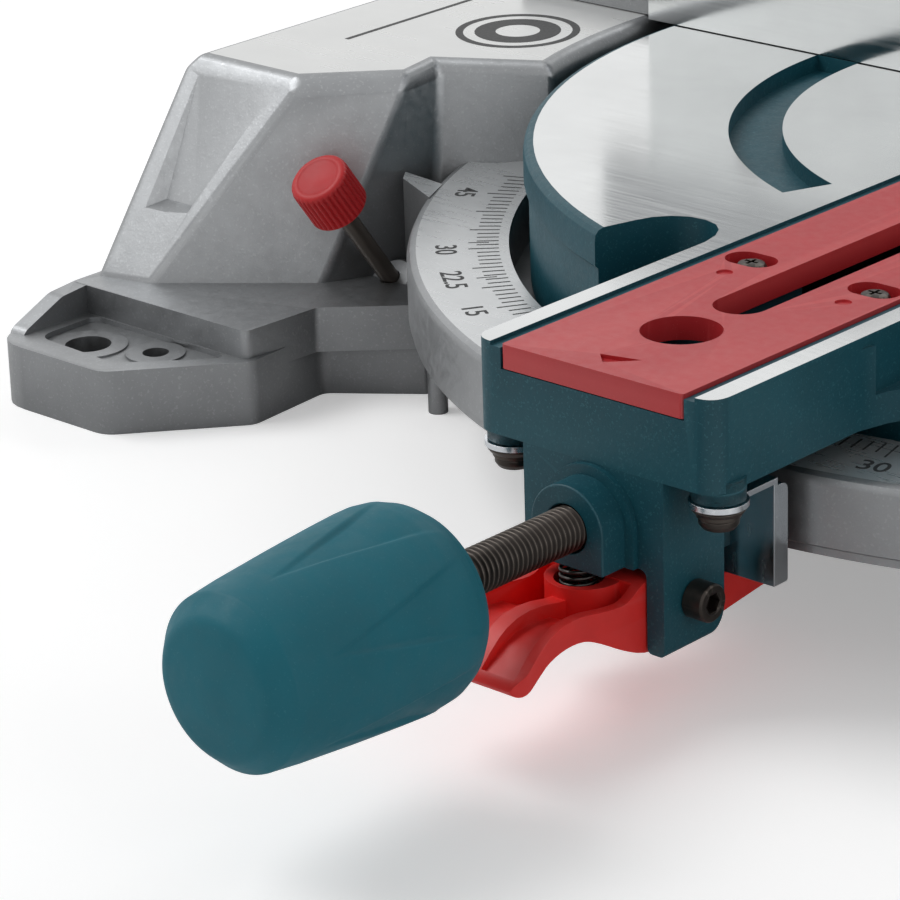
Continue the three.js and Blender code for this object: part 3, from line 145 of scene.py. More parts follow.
def prism(axis, outline, low, high):
    """An outline across an axis, drawn out from low to high along it."""
    count = len(outline)
    points = [along(axis, u, v, low) for u, v in outline] + [along(axis, u, v, high) for u, v in outline]
    faces = [tuple(range(count)), tuple(range(count, 2 * count))]
    faces += [(i, (i + 1) % count, count + (i + 1) % count, count + i) for i in range(count)]
    return mesh_of(points, faces)


def box(x0, x1, y0, y1, z0, z1):
    return prism("z", [(x0, y0), (x1, y0), (x1, y1), (x0, y1)], z0, z1)


def cylinder(axis, r, low, high, u=0, v=0, sides=64):
    return prism(axis, arc(r, 0, 360 - 360 / sides, sides - 1, u, v), low, high)


def loft(*levels):
    """Outlines of (x, y, z) points with as many corners each, joined in order."""
    count = len(levels[0])
    points = [p for level in levels for p in level]
    ends = [tuple(range(count)), tuple(range((len(levels) - 1) * count, len(levels) * count))]
    return mesh_of(points, ends + strip_faces(len(levels), count))


def polar(r, degrees, u=0, v=0):
    return (u + r * math.cos(rad(degrees)), v + r * math.sin(rad(degrees)))


def arc(r, start, end, steps, u=0, v=0):
    return [polar(r, start + (end - start) * i / steps, u, v) for i in range(steps + 1)]


def rounded(outline, radii, steps=6):
    """The outline with its corners rounded to the radii, one for each corner."""
    points = []
    count = len(outline)
    for i, (corner, r) in enumerate(zip(outline, radii)):
        here = Vector(corner)
        before = Vector(outline[i - 1]) - here
        after = Vector(outline[(i + 1) % count]) - here
        if r <= 0:
            points.append(tuple(here))
            continue
        half = before.angle(after) / 2
        reach = min(r / math.tan(half), 0.49 * before.length, 0.49 * after.length)
        a = here + before.normalized() * reach
        b = here + after.normalized() * reach
        for k in range(steps + 1):
            t = k / steps
            points.append(tuple((1 - t) ** 2 * a + 2 * t * (1 - t) * here + t ** 2 * b))
    return points


def modified(obj):
    """The object's modifiers are put into its mesh."""
    deps = bpy.context.evaluated_depsgraph_get()
    mesh = bpy.data.meshes.new_from_object(obj.evaluated_get(deps))
    obj.modifiers.clear()
    obj.data = mesh
    return obj


def combine(target, tools, operation):
    """Boolean steps, one tool after another; the tools are used up."""
    for tool in tools:
        step = target.modifiers.new("combine", "BOOLEAN")
        step.solver = "MANIFOLD"
        step.operation = operation
        step.object = tool
        modified(target)
        bpy.data.objects.remove(tool)
    return target


def join(target, *tools):
    return combine(target, tools, "UNION")


def cut(target, *tools):
    return combine(target, tools, "DIFFERENCE")


def both_sides(obj):
    """The object joined with its copy on the other side of X = 0."""
    mesh = obj.data.copy()
    mesh.transform(Matrix.Scale(-1, 4, (1, 0, 0)))
    mesh.flip_normals()
    return join(obj, link("mirror", mesh))


def merged(*objects):
    """Several objects as one, without joining their faces."""
    mesh = bpy.data.meshes.new("merged")
    bm = bmesh.new()
    for obj in objects:
        bm.from_mesh(obj.data)
    bm.to_mesh(mesh)
    bm.free()
    for obj in objects:
        bpy.data.objects.remove(obj)
    return link("merged", mesh)


def turn_round(obj, angle, axis, centre):
    obj.data.transform(Matrix.Translation(centre) @ Matrix.Rotation(angle, 4, axis)
                       @ Matrix.Translation(-centre))
    return obj


def add_step(obj, kind, **settings):
    step = obj.modifiers.new(kind.lower(), kind)
    for key, value in settings.items():
        setattr(step, key, value)


def add_weld(obj):
    add_step(obj, "WELD", merge_threshold=2e-6)


def add_planes(obj):
    """Puts flat faces together, which boolean steps leave in bits."""
    add_step(obj, "DECIMATE", decimate_type="DISSOLVE", angle_limit=rad(0.6))


def cleaned(obj):
    add_weld(obj)
    add_planes(obj)
    return modified(obj)


def rounded_solid(obj, width, segments=3, angle=25):
    add_step(obj, "BEVEL", width=width / 1000, segments=segments, limit_method="ANGLE",
             angle_limit=rad(angle))
    return modified(obj)


def smooth(obj):
    for face in obj.data.polygons:
        face.use_smooth = True


def soften(obj, width=0.6, segments=3, angle=28, weld=True, planes=True):
    """Rounds the edges, and shades the rest smooth."""
    if weld:
        add_weld(obj)
    if weld and planes:
        add_planes(obj)
    if width:
        add_step(obj, "BEVEL", width=width / 1000, segments=segments, limit_method="ANGLE",
                 angle_limit=rad(angle), miter_outer="MITER_ARC", use_clamp_overlap=True)
    add_step(obj, "WEIGHTED_NORMAL", keep_sharp=True)
    smooth(obj)


def wear(obj, *materials):
    obj.data.materials.clear()
    for material in materials:
        obj.data.materials.append(material)


def finish(obj, name, body, material, stands_for=None, width=0.6, segments=3, angle=28, weld=True,
           planes=True):
    """Gives a piece its name, looks and body, and hides the node it stands for. With a width of None its
    edges stay sharp.
    """
    obj.name = name
    if material:
        wear(obj, material)
    if width is not None:
        soften(obj, width, segments, angle, weld, planes)
    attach(obj, body)
    if stands_for:
        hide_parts(stands_for)


# Materials
def srgb(r, g, b):
    def linear(c):
        c /= 255
        return c / 12.92 if c <= 0.04045 else ((c + 0.055) / 1.055) ** 2.4
    return (linear(r), linear(g), linear(b), 1.0)


class Surface:
    """A node material on a Principled shader, built up a step at a time."""

    def __init__(self, name, color, metallic=0.0, roughness=0.5, **sockets):
        self.material = bpy.data.materials.new(name)
        self.material.use_nodes = True
        self.tree = self.material.node_tree
        self.shader = self.tree.nodes["Principled BSDF"]
        self.shader.inputs["Base Color"].default_value = color
        self.shader.inputs["Metallic"].default_value = metallic
        self.shader.inputs["Roughness"].default_value = roughness
        for key, value in sockets.items():
            self.shader.inputs[key.replace("_", " ")].default_value = value
        self.color = color
        self.roughness = roughness
        self.color_out = None
        self.rough_out = None
        self.normal_out = None
        self.coords = self.node("ShaderNodeTexCoord").outputs["Object"]

    def node(self, kind, **values):
        made = self.tree.nodes.new(kind)
        for key, value in values.items():
            setattr(made, key, value)
        return made

    def wire(self, source, target):
        self.tree.links.new(source, target)

    def noise(self, size, detail=3.0, stretch=(1, 1, 1)):
        """Noise whose spots are about that many millimetres wide."""
        mapping = self.node("ShaderNodeMapping")
        mapping.inputs["Scale"].default_value = [1000 / size * s for s in stretch]
        self.wire(self.coords, mapping.inputs["Vector"])
        made = self.node("ShaderNodeTexNoise")
        made.inputs["Scale"].default_value = 1.0
        made.inputs["Detail"].default_value = detail
        made.inputs["Roughness"].default_value = 0.55
        self.wire(mapping.outputs["Vector"], made.inputs["Vector"])
        return made.outputs["Fac"]

    def ramp(self, source, stops):
        made = self.node("ShaderNodeValToRGB")
        elements = made.color_ramp.elements
        while len(elements) < len(stops):
            elements.new(0.5)
        for element, (position, value) in zip(elements, stops):
            element.position = position
            element.color = value if isinstance(value, tuple) else (value, value, value, 1)
        self.wire(source, made.inputs["Fac"])
        return made.outputs["Color"]

    def tint(self, fac, color, amount=1.0):
        """Mixes a colour over what is there, where fac is high."""
        mix = self.node("ShaderNodeMix", data_type="RGBA")
        scaled = self.node("ShaderNodeMath", operation="MULTIPLY")
        scaled.inputs[1].default_value = amount
        self.wire(fac, scaled.inputs[0])
        self.wire(scaled.outputs[0], mix.inputs["Factor"])
        if self.color_out:
            self.wire(self.color_out, mix.inputs["A"])
        else:
            mix.inputs["A"].default_value = self.color
        mix.inputs["B"].default_value = color
        self.color_out = mix.outputs["Result"]
        return self

    def blotch(self, size, low, high, **kind):
        """Light and dark patches of the base colour, as factors of it."""
        dark = tuple(c * low for c in self.color[:3]) + (1,)
        light = tuple(min(1, c * high) for c in self.color[:3]) + (1,)
        self.color_out = self.ramp(self.noise(size, **kind), [(0.3, dark), (0.7, light)])
        return self

    def speckle(self, size, color, start=0.62, end=0.7, amount=0.6):
        return self.tint(self.ramp(self.noise(size, detail=1.0), [(start, 0.0), (end, 1.0)]), color, amount)

    def edges(self, color, amount=0.5, start=0.52, end=0.6):
        """Wear along the sharp edges."""
        geometry = self.node("ShaderNodeNewGeometry")
        return self.tint(self.ramp(geometry.outputs["Pointiness"], [(start, 0.0), (end, 1.0)]), color,
                         amount)

    def painted_crevice_shade(self, color, amount, reach):
        """Painted shade: darkens what is closed in by other surfaces within that many millimetres, as if
        less light reached it.
        """
        occlusion = self.node("ShaderNodeAmbientOcclusion", samples=8)
        occlusion.inputs["Distance"].default_value = reach / 1000
        return self.tint(self.ramp(occlusion.outputs["AO"], [(0.3, 1.0), (0.85, 0.0)]), color, amount)

    def gloss(self, size, spread, **kind):
        """Roughness that wanders about its value by the spread."""
        low, high = self.roughness - spread, self.roughness + spread
        self.rough_out = self.ramp(self.noise(size, **kind), [(0.3, low), (0.7, high)])
        return self

    def bump(self, size, height, **kind):
        """Unevenness of that height in millimetres."""
        made = self.node("ShaderNodeBump")
        made.inputs["Strength"].default_value = 1.0
        made.inputs["Distance"].default_value = height / 1000
        self.wire(self.noise(size, **kind), made.inputs["Height"])
        if self.normal_out:
            self.wire(self.normal_out, made.inputs["Normal"])
        self.normal_out = made.outputs["Normal"]
        return self

    def done(self):
        for source, key in ((self.color_out, "Base Color"), (self.rough_out, "Roughness"),
                            (self.normal_out, "Normal")):
            if source:
                self.wire(source, self.shader.inputs[key])
        return self.material


# The cast silver's darkening in its recesses is painted shade.
cast = (Surface("cast_silver", srgb(150, 152, 154), 0.8, 0.38)
        .blotch(14, 0.93, 1.05).speckle(0.9, srgb(190, 192, 194), 0.6, 0.72, 0.3)
        .edges(srgb(200, 202, 204), 0.2).painted_crevice_shade(srgb(66, 67, 68), 0.55, 45).gloss(3, 0.06)
        .bump(0.9, 0.035, detail=2.0).bump(6, 0.06).done())
cast_top = (Surface("cast_top", srgb(222, 223, 222), 0.5, 0.3)
            .blotch(30, 0.97, 1.02).gloss(8, 0.05, stretch=(0.2, 1, 1))
            .bump(0.6, 0.008, stretch=(0.05, 1, 1)).done())
powder = (Surface("teal_powder_coat", srgb(18, 72, 84), 0.0, 0.46, Specular_IOR_Level=0.36)
          .blotch(20, 0.9, 1.08).speckle(0.7, srgb(70, 128, 138), 0.62, 0.7, 0.3)
          .edges(srgb(46, 104, 116), 0.3).gloss(2, 0.05).bump(1.1, 0.07, detail=2.0).done())
rubber = (Surface("teal_rubber", srgb(16, 100, 115), 0.0, 0.56, Specular_IOR_Level=0.32)
          .blotch(16, 0.93, 1.06).speckle(0.55, srgb(70, 132, 144), 0.66, 0.76, 0.25)
          .edges(srgb(44, 110, 124), 0.25, 0.51, 0.57).gloss(4, 0.06).bump(0.7, 0.02, detail=2.0)
          .bump(9, 0.08).done())
polished = (Surface("polished_table", srgb(222, 224, 224), 1.0, 0.16, Anisotropic=0.35)
            .blotch(40, 0.94, 1.03).gloss(1.2, 0.05, stretch=(0.03, 1, 1), detail=5.0)
            .bump(0.5, 0.004, stretch=(0.02, 1, 1), detail=4.0).done())
ring_face = (Surface("scale_face", srgb(214, 216, 217), 0.75, 0.3)
             .blotch(18, 0.95, 1.03).gloss(1.5, 0.05, stretch=(0.1, 1, 1))
             .bump(0.7, 0.006, stretch=(0.06, 1, 1)).done())
red = (Surface("red_plastic", srgb(182, 22, 28), 0.0, 0.42, Specular_IOR_Level=0.3)
       .blotch(12, 0.92, 1.07).edges(srgb(214, 74, 74), 0.35, 0.51, 0.58).gloss(5, 0.05).bump(1.6, 0.012)
       .done())
# A brighter copy of the red plastic for the lever: painted light, standing in for the light the lever
# misses in the table's shade.
red_plastic_painted_light = (Surface("red_plastic_lit_copy", srgb(232, 44, 40), 0.0, 0.4, Specular_IOR_Level=0.4)
                 .blotch(12, 0.93, 1.06).edges(srgb(232, 84, 80), 0.35, 0.51, 0.58).gloss(5, 0.05)
                 .bump(1.6, 0.012).done())
spring_steel = (Surface("spring_steel", srgb(66, 64, 62), 0.9, 0.3)
                .blotch(3, 0.8, 1.15).gloss(2, 0.06).bump(0.8, 0.01).done())
red_plate = (Surface("red_kerf_plate", srgb(186, 42, 48), 0.0, 0.4)
             .blotch(18, 0.94, 1.05).speckle(0.5, srgb(220, 110, 110), 0.66, 0.76, 0.25)
             .edges(srgb(222, 92, 92), 0.35, 0.51, 0.58).gloss(3, 0.05).bump(0.7, 0.012, detail=2.0).done())
black_oxide = (Surface("black_oxide", srgb(48, 43, 40), 0.75, 0.36)
               .blotch(4, 0.8, 1.2).edges(srgb(120, 112, 104), 0.5, 0.51, 0.58).gloss(2, 0.08)
               .bump(0.8, 0.01).done())
zinc = (Surface("zinc_plate", srgb(204, 210, 216), 1.0, 0.22)
        .blotch(12, 0.9, 1.04).edges(srgb(240, 242, 244), 0.6, 0.51, 0.57)
        .gloss(3, 0.06, stretch=(1, 1, 0.2)).bump(2.5, 0.01).done())
steel = (Surface("ground_steel", srgb(190, 192, 194), 1.0, 0.26, Anisotropic=0.3)
         .blotch(10, 0.94, 1.03).gloss(1, 0.05).bump(0.6, 0.005).done())
blade_steel = (Surface("blade_plate", srgb(186, 188, 190), 1.0, 0.3, Anisotropic=0.5)
               .blotch(26, 0.93, 1.04).gloss(1.5, 0.06, stretch=(1, 0.1, 1)).bump(0.5, 0.006).done())
carbide = (Surface("carbide", srgb(118, 120, 122), 0.8, 0.4).blotch(1, 0.85, 1.1).bump(0.4, 0.01).done())
black = (Surface("black_plastic", srgb(34, 35, 37), 0.0, 0.5)
         .blotch(10, 0.88, 1.12).speckle(0.5, srgb(74, 75, 77), 0.66, 0.76, 0.3)
         .edges(srgb(70, 71, 73), 0.4, 0.51, 0.58).gloss(2, 0.06).bump(0.8, 0.03, detail=2.0).done())
black_grip = (Surface("black_rubber", srgb(30, 30, 31), 0.0, 0.62, Sheen_Weight=0.15)
              .blotch(8, 0.88, 1.12).gloss(2, 0.05).bump(0.9, 0.06, detail=2.0).done())
copper = (Surface("copper_winding", srgb(150, 88, 50), 0.85, 0.38)
          .blotch(2, 0.8, 1.15).gloss(1, 0.06).bump(0.8, 0.08, stretch=(0.2, 1, 1)).done())
ink = (Surface("black_ink", srgb(34, 35, 36), 0.0, 0.55)
       .blotch(1.5, 0.8, 1.25).gloss(1, 0.05).bump(0.4, 0.004).done())


# The floor's glow grows between these distances from the middle, in metres.
GLOW_START, GLOW_END = 0.8, 2.6


def camera_glow(surface, near, far):
    """Adds light that is seen but lights nothing, so that a pale ground reads as white, far off too."""
    path = surface.node("ShaderNodeLightPath")
    distance = surface.node("ShaderNodeVectorMath", operation="LENGTH")
    surface.wire(surface.coords, distance.inputs[0])
    amount = surface.node("ShaderNodeMapRange")
    surface.wire(distance.outputs["Value"], amount.inputs["Value"])
    for key, value in (("From Min", GLOW_START), ("From Max", GLOW_END), ("To Min", near), ("To Max", far)):
        amount.inputs[key].default_value = value
    seen = surface.node("ShaderNodeMath", operation="MULTIPLY")
    surface.wire(amount.outputs["Result"], seen.inputs[1])
    surface.wire(path.outputs["Is Camera Ray"], seen.inputs[0])
    surface.shader.inputs["Emission Color"].default_value = (1, 1, 1, 1)
    surface.wire(seen.outputs[0], surface.shader.inputs["Emission Strength"])
    return surface


floor_paint = camera_glow(Surface("floor_paint", srgb(248, 248, 248), 0.0, 0.7)
                          .blotch(120, 0.995, 1.0).bump(4, 0.01), 0.33, 0.8).done()


# Camera, light and floor
WORLD_LIGHT = 0.28

# The camera's place, lens and angles were solved from the photograph.
CAMERA_AT = (0.60204, -1.00989, 0.43089)
CAMERA_LENS = 161.5
CAMERA_TURN, CAMERA_RISE, CAMERA_ROLL = 43.02, 21.43, -1.82
FLOOR_HALF = 15000


def camera():
    data = bpy.data.cameras.new("camera")
    data.sensor_width = 36.0
    data.lens = CAMERA_LENS
    data.clip_start = 0.05
    data.clip_end = 30
    obj = link("camera", data)
    turn, rise, roll = rad(CAMERA_TURN), rad(CAMERA_RISE), rad(CAMERA_ROLL)
    right = Vector((math.cos(turn), math.sin(turn), 0))
    back = Vector((math.sin(turn) * math.cos(rise), -math.cos(turn) * math.cos(rise), math.sin(rise)))
    up = back.cross(right)
    side = right * math.cos(roll) + up * math.sin(roll)
    rise_axis = up * math.cos(roll) - right * math.sin(roll)
    matrix = Matrix((side, rise_axis, back)).transposed().to_4x4()
    matrix.translation = Vector(CAMERA_AT)
    obj.matrix_world = matrix
    bpy.context.scene.camera = obj


def area_light(name, power, size, spot, aim):
    data = bpy.data.lights.new(name, "AREA")
    data.shape = "RECTANGLE"
    data.size, data.size_y = size
    data.energy = power
    obj = link(name, data)
    obj.location = spot
    obj.rotation_euler = (Vector(aim) - Vector(spot)).to_track_quat("-Z", "Y").to_euler()


def studio():
    world = bpy.data.worlds.new("studio")
    bpy.context.scene.world = world
    world.use_nodes = True
    nodes, links = world.node_tree.nodes, world.node_tree.links
    background = nodes["Background"]
    background.inputs["Color"].default_value = (1, 1, 1, 1)
    path = nodes.new("ShaderNodeLightPath")
    seen = path.outputs["Is Camera Ray"]
    for ray in ("Is Glossy Ray", "Is Transmission Ray"):
        either = nodes.new("ShaderNodeMath")
        either.operation = "MAXIMUM"
        links.new(seen, either.inputs[0])
        links.new(path.outputs[ray], either.inputs[1])
        seen = either.outputs[0]
    strength = nodes.new("ShaderNodeMapRange")
    strength.inputs["To Min"].default_value = WORLD_LIGHT
    strength.inputs["To Max"].default_value = 1.0
    links.new(seen, strength.inputs["Value"])
    links.new(strength.outputs["Result"], background.inputs["Strength"])
    area_light("key", 25, (1.6, 1.2), (-1.3, -0.9, 1.9), (0, 0, 0.15))
    area_light("fill", 8, (1.6, 1.6), (2.4, -0.5, 1.1), (0, 0, 0.15))
    area_light("back", 12, (2.2, 1.0), (0.3, 1.9, 1.9), (0, 0, 0.2))
    plane = box(-FLOOR_HALF, FLOOR_HALF, -FLOOR_HALF, FLOOR_HALF, -4, 0)
    plane.name = "floor"
    plane.data.materials.append(floor_paint)
    bpy.context.scene.view_settings.view_transform = "Standard"


camera()
studio()


# Base casting
SCALE_TOP = 60.0
# The scale's zero stands this many degrees to the left of the arm, as measured in the photograph.
SCALE_TURN = 16.7
# The edge of the wing's top that follows the turntable.
WING_ARC = arc(190.5, 197, 153.5, 14)


def wing_outline(z, front, ridge, nose, neck, inset):
    rear = 85 - inset
    outline = [(-282 + inset, front), ridge, nose, neck]
    outline += [(x - inset, min(y, rear)) for x, y in WING_ARC]
    outline.append((-282 + inset, rear))
    return [(x, y, z) for x, y in outline]


def wing_front(x, z, depth=0.0):
    """A point on the slanting front face of the left wing, some way behind it."""
    y = -116 - 42 * (86 - z) / 57
    return (x, y + depth, z)


def wing():
    skin = loft(
        wing_outline(0, -163, (-266, -158), (-224, -128), (-205, -92), 0),
        wing_outline(29, -158, (-263, -153), (-221, -120), (-205, -88), 0),
        wing_outline(86, -116, (-235, -115), (-211, -91), (-214, -73), 0),
        wing_outline(90, -112, (-237, -112), (-213, -88), (-216, -73), 3),
    )
    rounded_solid(skin, 3.2, 5)
    core = loft(
        wing_outline(-1, -152, (-263, -147), (-226, -120), (-210, -86), 6),
        wing_outline(29, -148, (-261, -143), (-225, -112), (-211, -84), 6),
        wing_outline(84, -108, (-237, -107), (-218, -86), (-221, -70), 6),
    )
    outer = [wing_front(-277, 85.5, -3), wing_front(-241, 85.5, -3), wing_front(-256.5, 47.5, -3),
             wing_front(-276.5, 47.5, -3)]
    inner = [wing_front(-275, 84.5, 0.2), wing_front(-243, 84.5, 0.2), wing_front(-259, 50.5, 5.5),
             wing_front(-271, 50.5, 5.5)]
    return cut(skin, core, loft(outer, inner))


def lug():
    radii = (13, 9, 6, 5, 3, 0, 0)
    foot = prism("z", rounded([(-284, -200), (-236, -200), (-206.6, -166), (-209, -134), (-183, -115),
                               (-190, -60), (-284, -60)], radii), 0, 20)
    plateau = prism("z", rounded([(-284, -166), (-208.7, -166), (-207, -138), (-184, -117), (-190, -60),
                                  (-284, -60)], (2, 3, 3, 3, 0, 0)), 15, 29)
    rim = prism("x", rounded([(-194, 15), (-165, 15), (-165, 29), (-176, 28), (-192, 21)], (0, 0, 0, 8, 4)),
                -284, -278)
    body = rounded_solid(cleaned(join(foot, plateau, rim)), 3.2, 5, 35)
    basin = prism("z", rounded([(-274, -190), (-239, -192), (-213, -166.5), (-274, -166.5)], (6, 6, 4, 4)),
                  18.4, 40)
    pit = prism("z", [(-272, -184), (-240, -184), (-220, -162), (-220, -140), (-230, -130), (-272, -130)],
                -1, 14)
    body = cut(body, basin, pit)
    posts = (cylinder("z", 12, 0, 19, -259, -183.5), cylinder("z", 9, 0, 19, -237.5, -176))
    body = join(body, *posts)
    return cut(body, cylinder("z", 7, -1, 30, -259, -183.5), cylinder("z", 4, -1, 30, -237.5, -176))


def rear_lug():
    foot = prism("z", rounded([(-284, 75), (-284, 152), (-276, 160), (-232, 160), (-205, 126), (-186, 75)],
                              (0, 8, 5, 5, 4, 0)), 0, 20)
    rounded_solid(foot, 1.7)
    return cut(foot, cylinder("z", 4, -1, 30, -258, 136))


# How steeply the thumbscrews rise, in degrees, and the foot of the right one.
THUMB_TILT, THUMB_FOOT = 53.2, (207, -104.4, 28.6)


def along_thumb(side, out, up=0.0, around=0.0):
    """A point on the thumbscrew, that far out from its foot, at a radius up and an angle around."""
    tilt = rad(THUMB_TILT)
    y, z = -math.cos(tilt), math.sin(tilt)
    axis_y, axis_z = math.sin(tilt), math.cos(tilt)
    across, rise = up * math.cos(around), up * math.sin(around)
    x0, y0, z0 = THUMB_FOOT
    return (side * x0 + across, y0 + out * y + rise * axis_y, z0 + out * z + rise * axis_z)


def thumb_solid(side, profile, sides=48, flutes=0, depth=0.0, range_out=(0, 0)):
    """A profile of (radius, distance out) points turned about the thumbscrew, with flutes if asked."""
    points = []
    for i in range(sides):
        angle = 2 * math.pi * i / sides
        for r, out in profile:
            if flutes and range_out[0] <= out <= range_out[1]:
                r -= depth * (0.5 + 0.5 * math.cos(flutes * angle)) ** 2
            points.append(along_thumb(side, out, r, angle))
    return mesh_of(points, turned_faces(sides, len(profile)))


def base():
    side = join(wing(), lug(), rear_lug(),
                thumb_solid(-1, [(0, -14), (8, -14), (8, 0), (6.8, 1.2), (0, 1.2)]))
    shoulder = prism("z", [(-210, -93.7), (-192.5, -96), (-187, -108), (-206, -99)], 20, 60)
    leg = cylinder("z", 3, 0, 44, -171, -124, 24)
    both = both_sides(join(side, shoulder, leg))
    ring = turned("z", [(187.7, 60), (214.6, 60), (216.4, 59.3), (217.3, 57.4), (217.3, 41.2),
                        (216.6, 40.6), (216.6, 38.5), (187.7, 38.5)], sides=288)
    web = cylinder("z", 189.7, 39, 44, sides=96)
    hub = cylinder("z", 22, 26, 44)
    ribs = []
    for k in range(12):
        rib = box(20, 189, -2, 2, 28, 40)
        turn_round(rib, rad(15 + 30 * k), "Z", place(0, 0, 0))
        ribs.append(rib)
    body = join(both, ring, web, hub, *ribs)
    well = cylinder("z", 187, 44, 92, sides=288)
    bolt = cylinder("z", 6.4, 20, 50)
    holes = [cylinder("z", 3.4, 78, 92, x, 26, 24) for x in (-234, 234)]
    thumb_holes = [thumb_solid(s, [(0, -12), (3.2, -12), (3.2, 6), (0, 6)], 24) for s in (-1, 1)]
    body = cut(body, well, bolt, *holes, *thumb_holes)
    wear(body, cast, cast_top, ring_face)
    for face in body.data.polygons:
        z = face.center.z * 1000
        if face.normal.z < 0.995:
            face.material_index = 0
        elif z > TABLE_TOP - 0.2:
            face.material_index = 1
        else:
            face.material_index = 2 if abs(z - SCALE_TOP) < 0.1 else 0
    finish(body, "base_body", "base", None, "base_casting", 0.7, 2, 30, weld=False)


def scale_marks():
    """The mitre scale: a mark for each degree, longer at 5 degrees, with plain numbers."""
    points, faces = [], []

    def mark(angle, r0, r1, width):
        along_r = Vector((-math.sin(rad(angle)), -math.cos(rad(angle))))
        side = Vector((-along_r.y, along_r.x))
        corners = [along_r * r + side * s
                   for r, s in ((r0, -width), (r1, -width), (r1, width), (r0, width))]
        start = len(points)
        for z in (SCALE_TOP, SCALE_TOP + 0.06):
            points.extend((c.x, c.y, z) for c in corners)
        for face in ((0, 1, 2, 3), (4, 5, 6, 7), (0, 1, 5, 4), (1, 2, 6, 5), (2, 3, 7, 6), (3, 0, 4, 7)):
            faces.append(tuple(start + i for i in face))

    for value in range(-50, 51):
        mark(SCALE_TURN + value, 190.6, 199.4 if value % 5 == 0 else 197.0, 0.28)
    for value in (-22.5, 22.5, 31.6, -31.6):
        mark(SCALE_TURN + value, 193.5, 199.4, 0.22)
    obj = mesh_of(points, faces)
    finish(obj, "scale_marks", "base", ink, width=None)
    labels = ((0, "0"), (15, "15"), (22.5, "22.5"), (30, "30"), (45, "45"))
    for value, text in [(s * v, t) for v, t in labels for s in ((1,) if v == 0 else (1, -1))]:
        data = bpy.data.curves.new("number", "FONT")
        data.body = text
        data.size = 0.0088
        data.align_x = "CENTER"
        data.align_y = "CENTER"
        data.extrude = 0.00003
        data.offset = 0.00008
        angle = rad(SCALE_TURN + value)
        out = Vector((-math.sin(angle), -math.cos(angle), 0))
        text_obj = link("scale_number_" + text.replace(".", "_") + ("_left" if value > 0 else "_right"),
                        data)
        turn = Matrix(((-out.y, -out.x, 0, 0), (out.x, -out.y, 0, 0), (0, 0, 1, 0), (0, 0, 0, 1)))
        text_obj.matrix_world = Matrix.Translation(place(0, 0, SCALE_TOP + 0.03) + out * 0.2062) @ turn
        data.materials.append(ink)
        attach(text_obj, "base")


def wing_marks():
    for side in (-1, 1):
        line = box(side * 253 - 0.8, side * 253 + 0.8, -73, 20, TABLE_TOP, TABLE_TOP + 0.05)
        finish(line, "wing_line", "base", ink, width=None)
        rings = [turned("z", [(inner, TABLE_TOP), (outer, TABLE_TOP), (outer, TABLE_TOP + 0.06),
                              (inner, TABLE_TOP + 0.06)], side * 216, -34)
                 for inner, outer in ((17.2, 19.6), (7, 13.6))]
        finish(merged(*rings), "wing_ring", "base", ink, width=None)


base()
scale_marks()
wing_marks()


# Turntable
# Heights and places of the arm: its front end, the lock rod's axis, and the detent lever's pivot.
ARM_BOTTOM, LOCK_Z, BLOCK_BOTTOM, FRONT = 65.5, 51.1, 41.0, -252.0
BLOCK_REAR = FRONT + 26
PIVOT_Y, PIVOT_Z = -240.5, 31.6
SPRING_Y = PIVOT_Y - 17
KERF_SCREW_X, KERF_SCREW_ROWS = 20, (-163.8, 72)
PLATE_SCREW_X, PLATE_SCREW_Y = 33, -243.5

# A hollow beside the arm's root, and the wall round it; the one on the right is its mirror image.
NOTCH = [(-38.7, -190), (-38.7, -160), (-39.9, -154), (-42.3, -149.6), (-45.6, -146.7), (-50.3, -145.3),
         (-55.4, -145.8), (-59.8, -148.2), (-63.2, -152.1), (-65.2, -157), (-67, -163), (-69.6, -172),
         (-74, -190)]
POCKET = [(-36, -192), (-36, -156), (-37.4, -150), (-40.6, -145.6), (-45, -143), (-50.3, -141.9),
          (-57, -142.6), (-62, -145.4), (-66, -150.2), (-68.4, -156), (-70.3, -162.3), (-72.9, -171),
          (-77, -192)]


